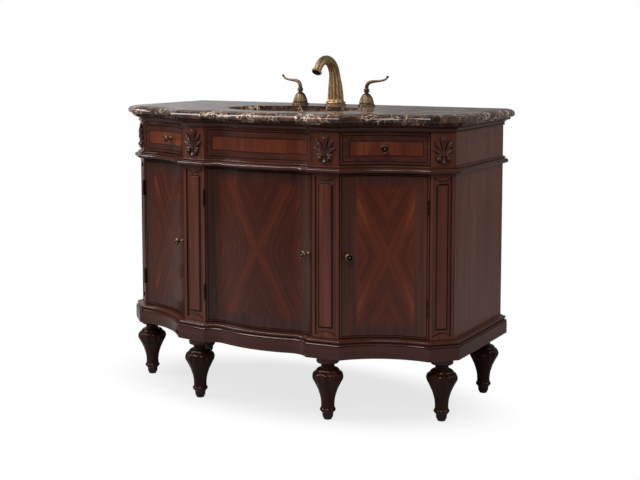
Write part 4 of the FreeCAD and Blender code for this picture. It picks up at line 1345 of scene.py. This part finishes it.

# %% Leaves on the posts
# The parts of the carving that lie close to the post are darker: painted shade in its hollows.
carving_depth = 0.0046
darken(leaf, upright_mahogany, recess_glaze, lambda spot, normal: spot.y > -carving_depth)
carved_low, carved_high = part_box("carved_leaves")
stretch = (carved_high.z - carved_low.z) / (leaf_high.z - leaf_low.z)
for index, (seat, inward) in enumerate(leaf_seats):
    place = (Matrix.Translation((seat.x, seat.y, carved_low.z))
             @ Matrix.Rotation(math.atan2(-inward.x, inward.y), 4, "Z")
             @ Matrix.Scale(stretch, 4, Vector((0, 0, 1)))
             @ Matrix.Translation((0, 0, -leaf_low.z)))
    stand_copy(leaf, "carved_leaf_" + str(index + 1), place, "mahogany", "chest", "carved_leaves")
    print("leaf", index + 1, "at", [round(value, 3) for value in seat])
bpy.data.objects.remove(leaf)

# %% [markdown]
# ## Floor, light and background
#
# The chest stands on a pale floor that runs into a white background. A tall soft lamp on the left
# is the window that draws the long highlights on the mouldings, and a weaker one on the right
# keeps the side from going black. Two more above and in front light the stone and the doors.
#
# The camera sees a white world. Dark lacquer would look washed out if it mirrored that, so diffuse
# light gets a dimmer white, and mirror reflections get a dark room with a bright wall on the left.


# %% Stage
white_light = (1, 1, 1, 1)


def pale_floor():
    """Pale near the chest, where it takes the shadow, and white background further out."""
    paint = Paint("pale_floor", {"Base Color": rgb(150, 150, 150), "Roughness": 0.9,
                                 "Specular IOR Level": 0.1})
    x, y, z = paint.place()
    reach = (x * x * 0.56 + y * y * 2.2) ** 0.5
    far = paint.ease(reach, 0.32, 0.60)
    white = paint.node("ShaderNodeEmission", {}, {"Color": white_light})
    share = (far * 0.24 + 0.76) * paint.ray("Is Camera Ray")
    paint.finish("Material Output", paint.mix(share, Wire(paint, paint.shader.outputs[0]), white))
    return paint.material


rest_hands()
bpy.ops.mesh.primitive_circle_add(vertices=96, radius=6.0, fill_type="NGON")
floor = bpy.context.object
floor.name = "floor"
floor.data.materials.append(pale_floor())


def soft_lamp(name, place, target, size, power):
    bpy.ops.object.light_add(type="AREA", location=place)
    lamp = bpy.context.object
    lamp.name = name
    lamp.rotation_euler = (Vector(target) - Vector(place)).to_track_quat("-Z", "Y").to_euler()
    lamp.data.shape = "RECTANGLE"
    lamp.data.size, lamp.data.size_y = size
    lamp.data.energy = power


chest_middle = (cad_box[0] + cad_box[1]) / 2
soft_lamp("window_left", (-3.0, -1.8, 2.6), chest_middle, (0.8, 2.4), 76)
soft_lamp("fill_right", (3.2, 0.5, 2.2), chest_middle, (2.6, 2.0), 26)
soft_lamp("overhead", (-1.1, -1.5, 3.2), chest_middle, (2.2, 1.2), 62)
soft_lamp("front_high", (1.3, -2.6, 2.9), chest_middle, (1.6, 1.2), 50)
print("lamps set")

# %% World
world = bpy.data.worlds.new("studio")
bpy.context.scene.world = world
world.use_nodes = True
world.node_tree.nodes.remove(world.node_tree.nodes["Background"])
sky = Tree(world.node_tree)


def background(strength):
    return sky.node("ShaderNodeBackground", {}, {"Color": white_light, "Strength": strength})


def slope(value, *limits):
    """A straight rise: limits are the value's lowest and highest, then the result's."""
    return sky.node("ShaderNodeMapRange", {}, dict(enumerate((value, *limits))))


# The room grows lighter towards the back, and the wall on the left is its brightest part.
x, y, z = sky.place("Generated")
room = background(slope(y, 0.2, 0.8, 0.07, 0.24) * slope(x, -0.42, -0.62, 0.85, 2.0))
unseen = sky.mix(sky.ray("Is Glossy Ray"), background(0.35), room)
eye = sky.math("MAXIMUM", sky.ray("Is Camera Ray"), sky.ray("Is Transmission Ray"))
sky.finish("World Output", sky.mix(eye, unseen, background(1.0)))
bpy.context.scene.view_settings.view_transform = "Standard"
print("world set")
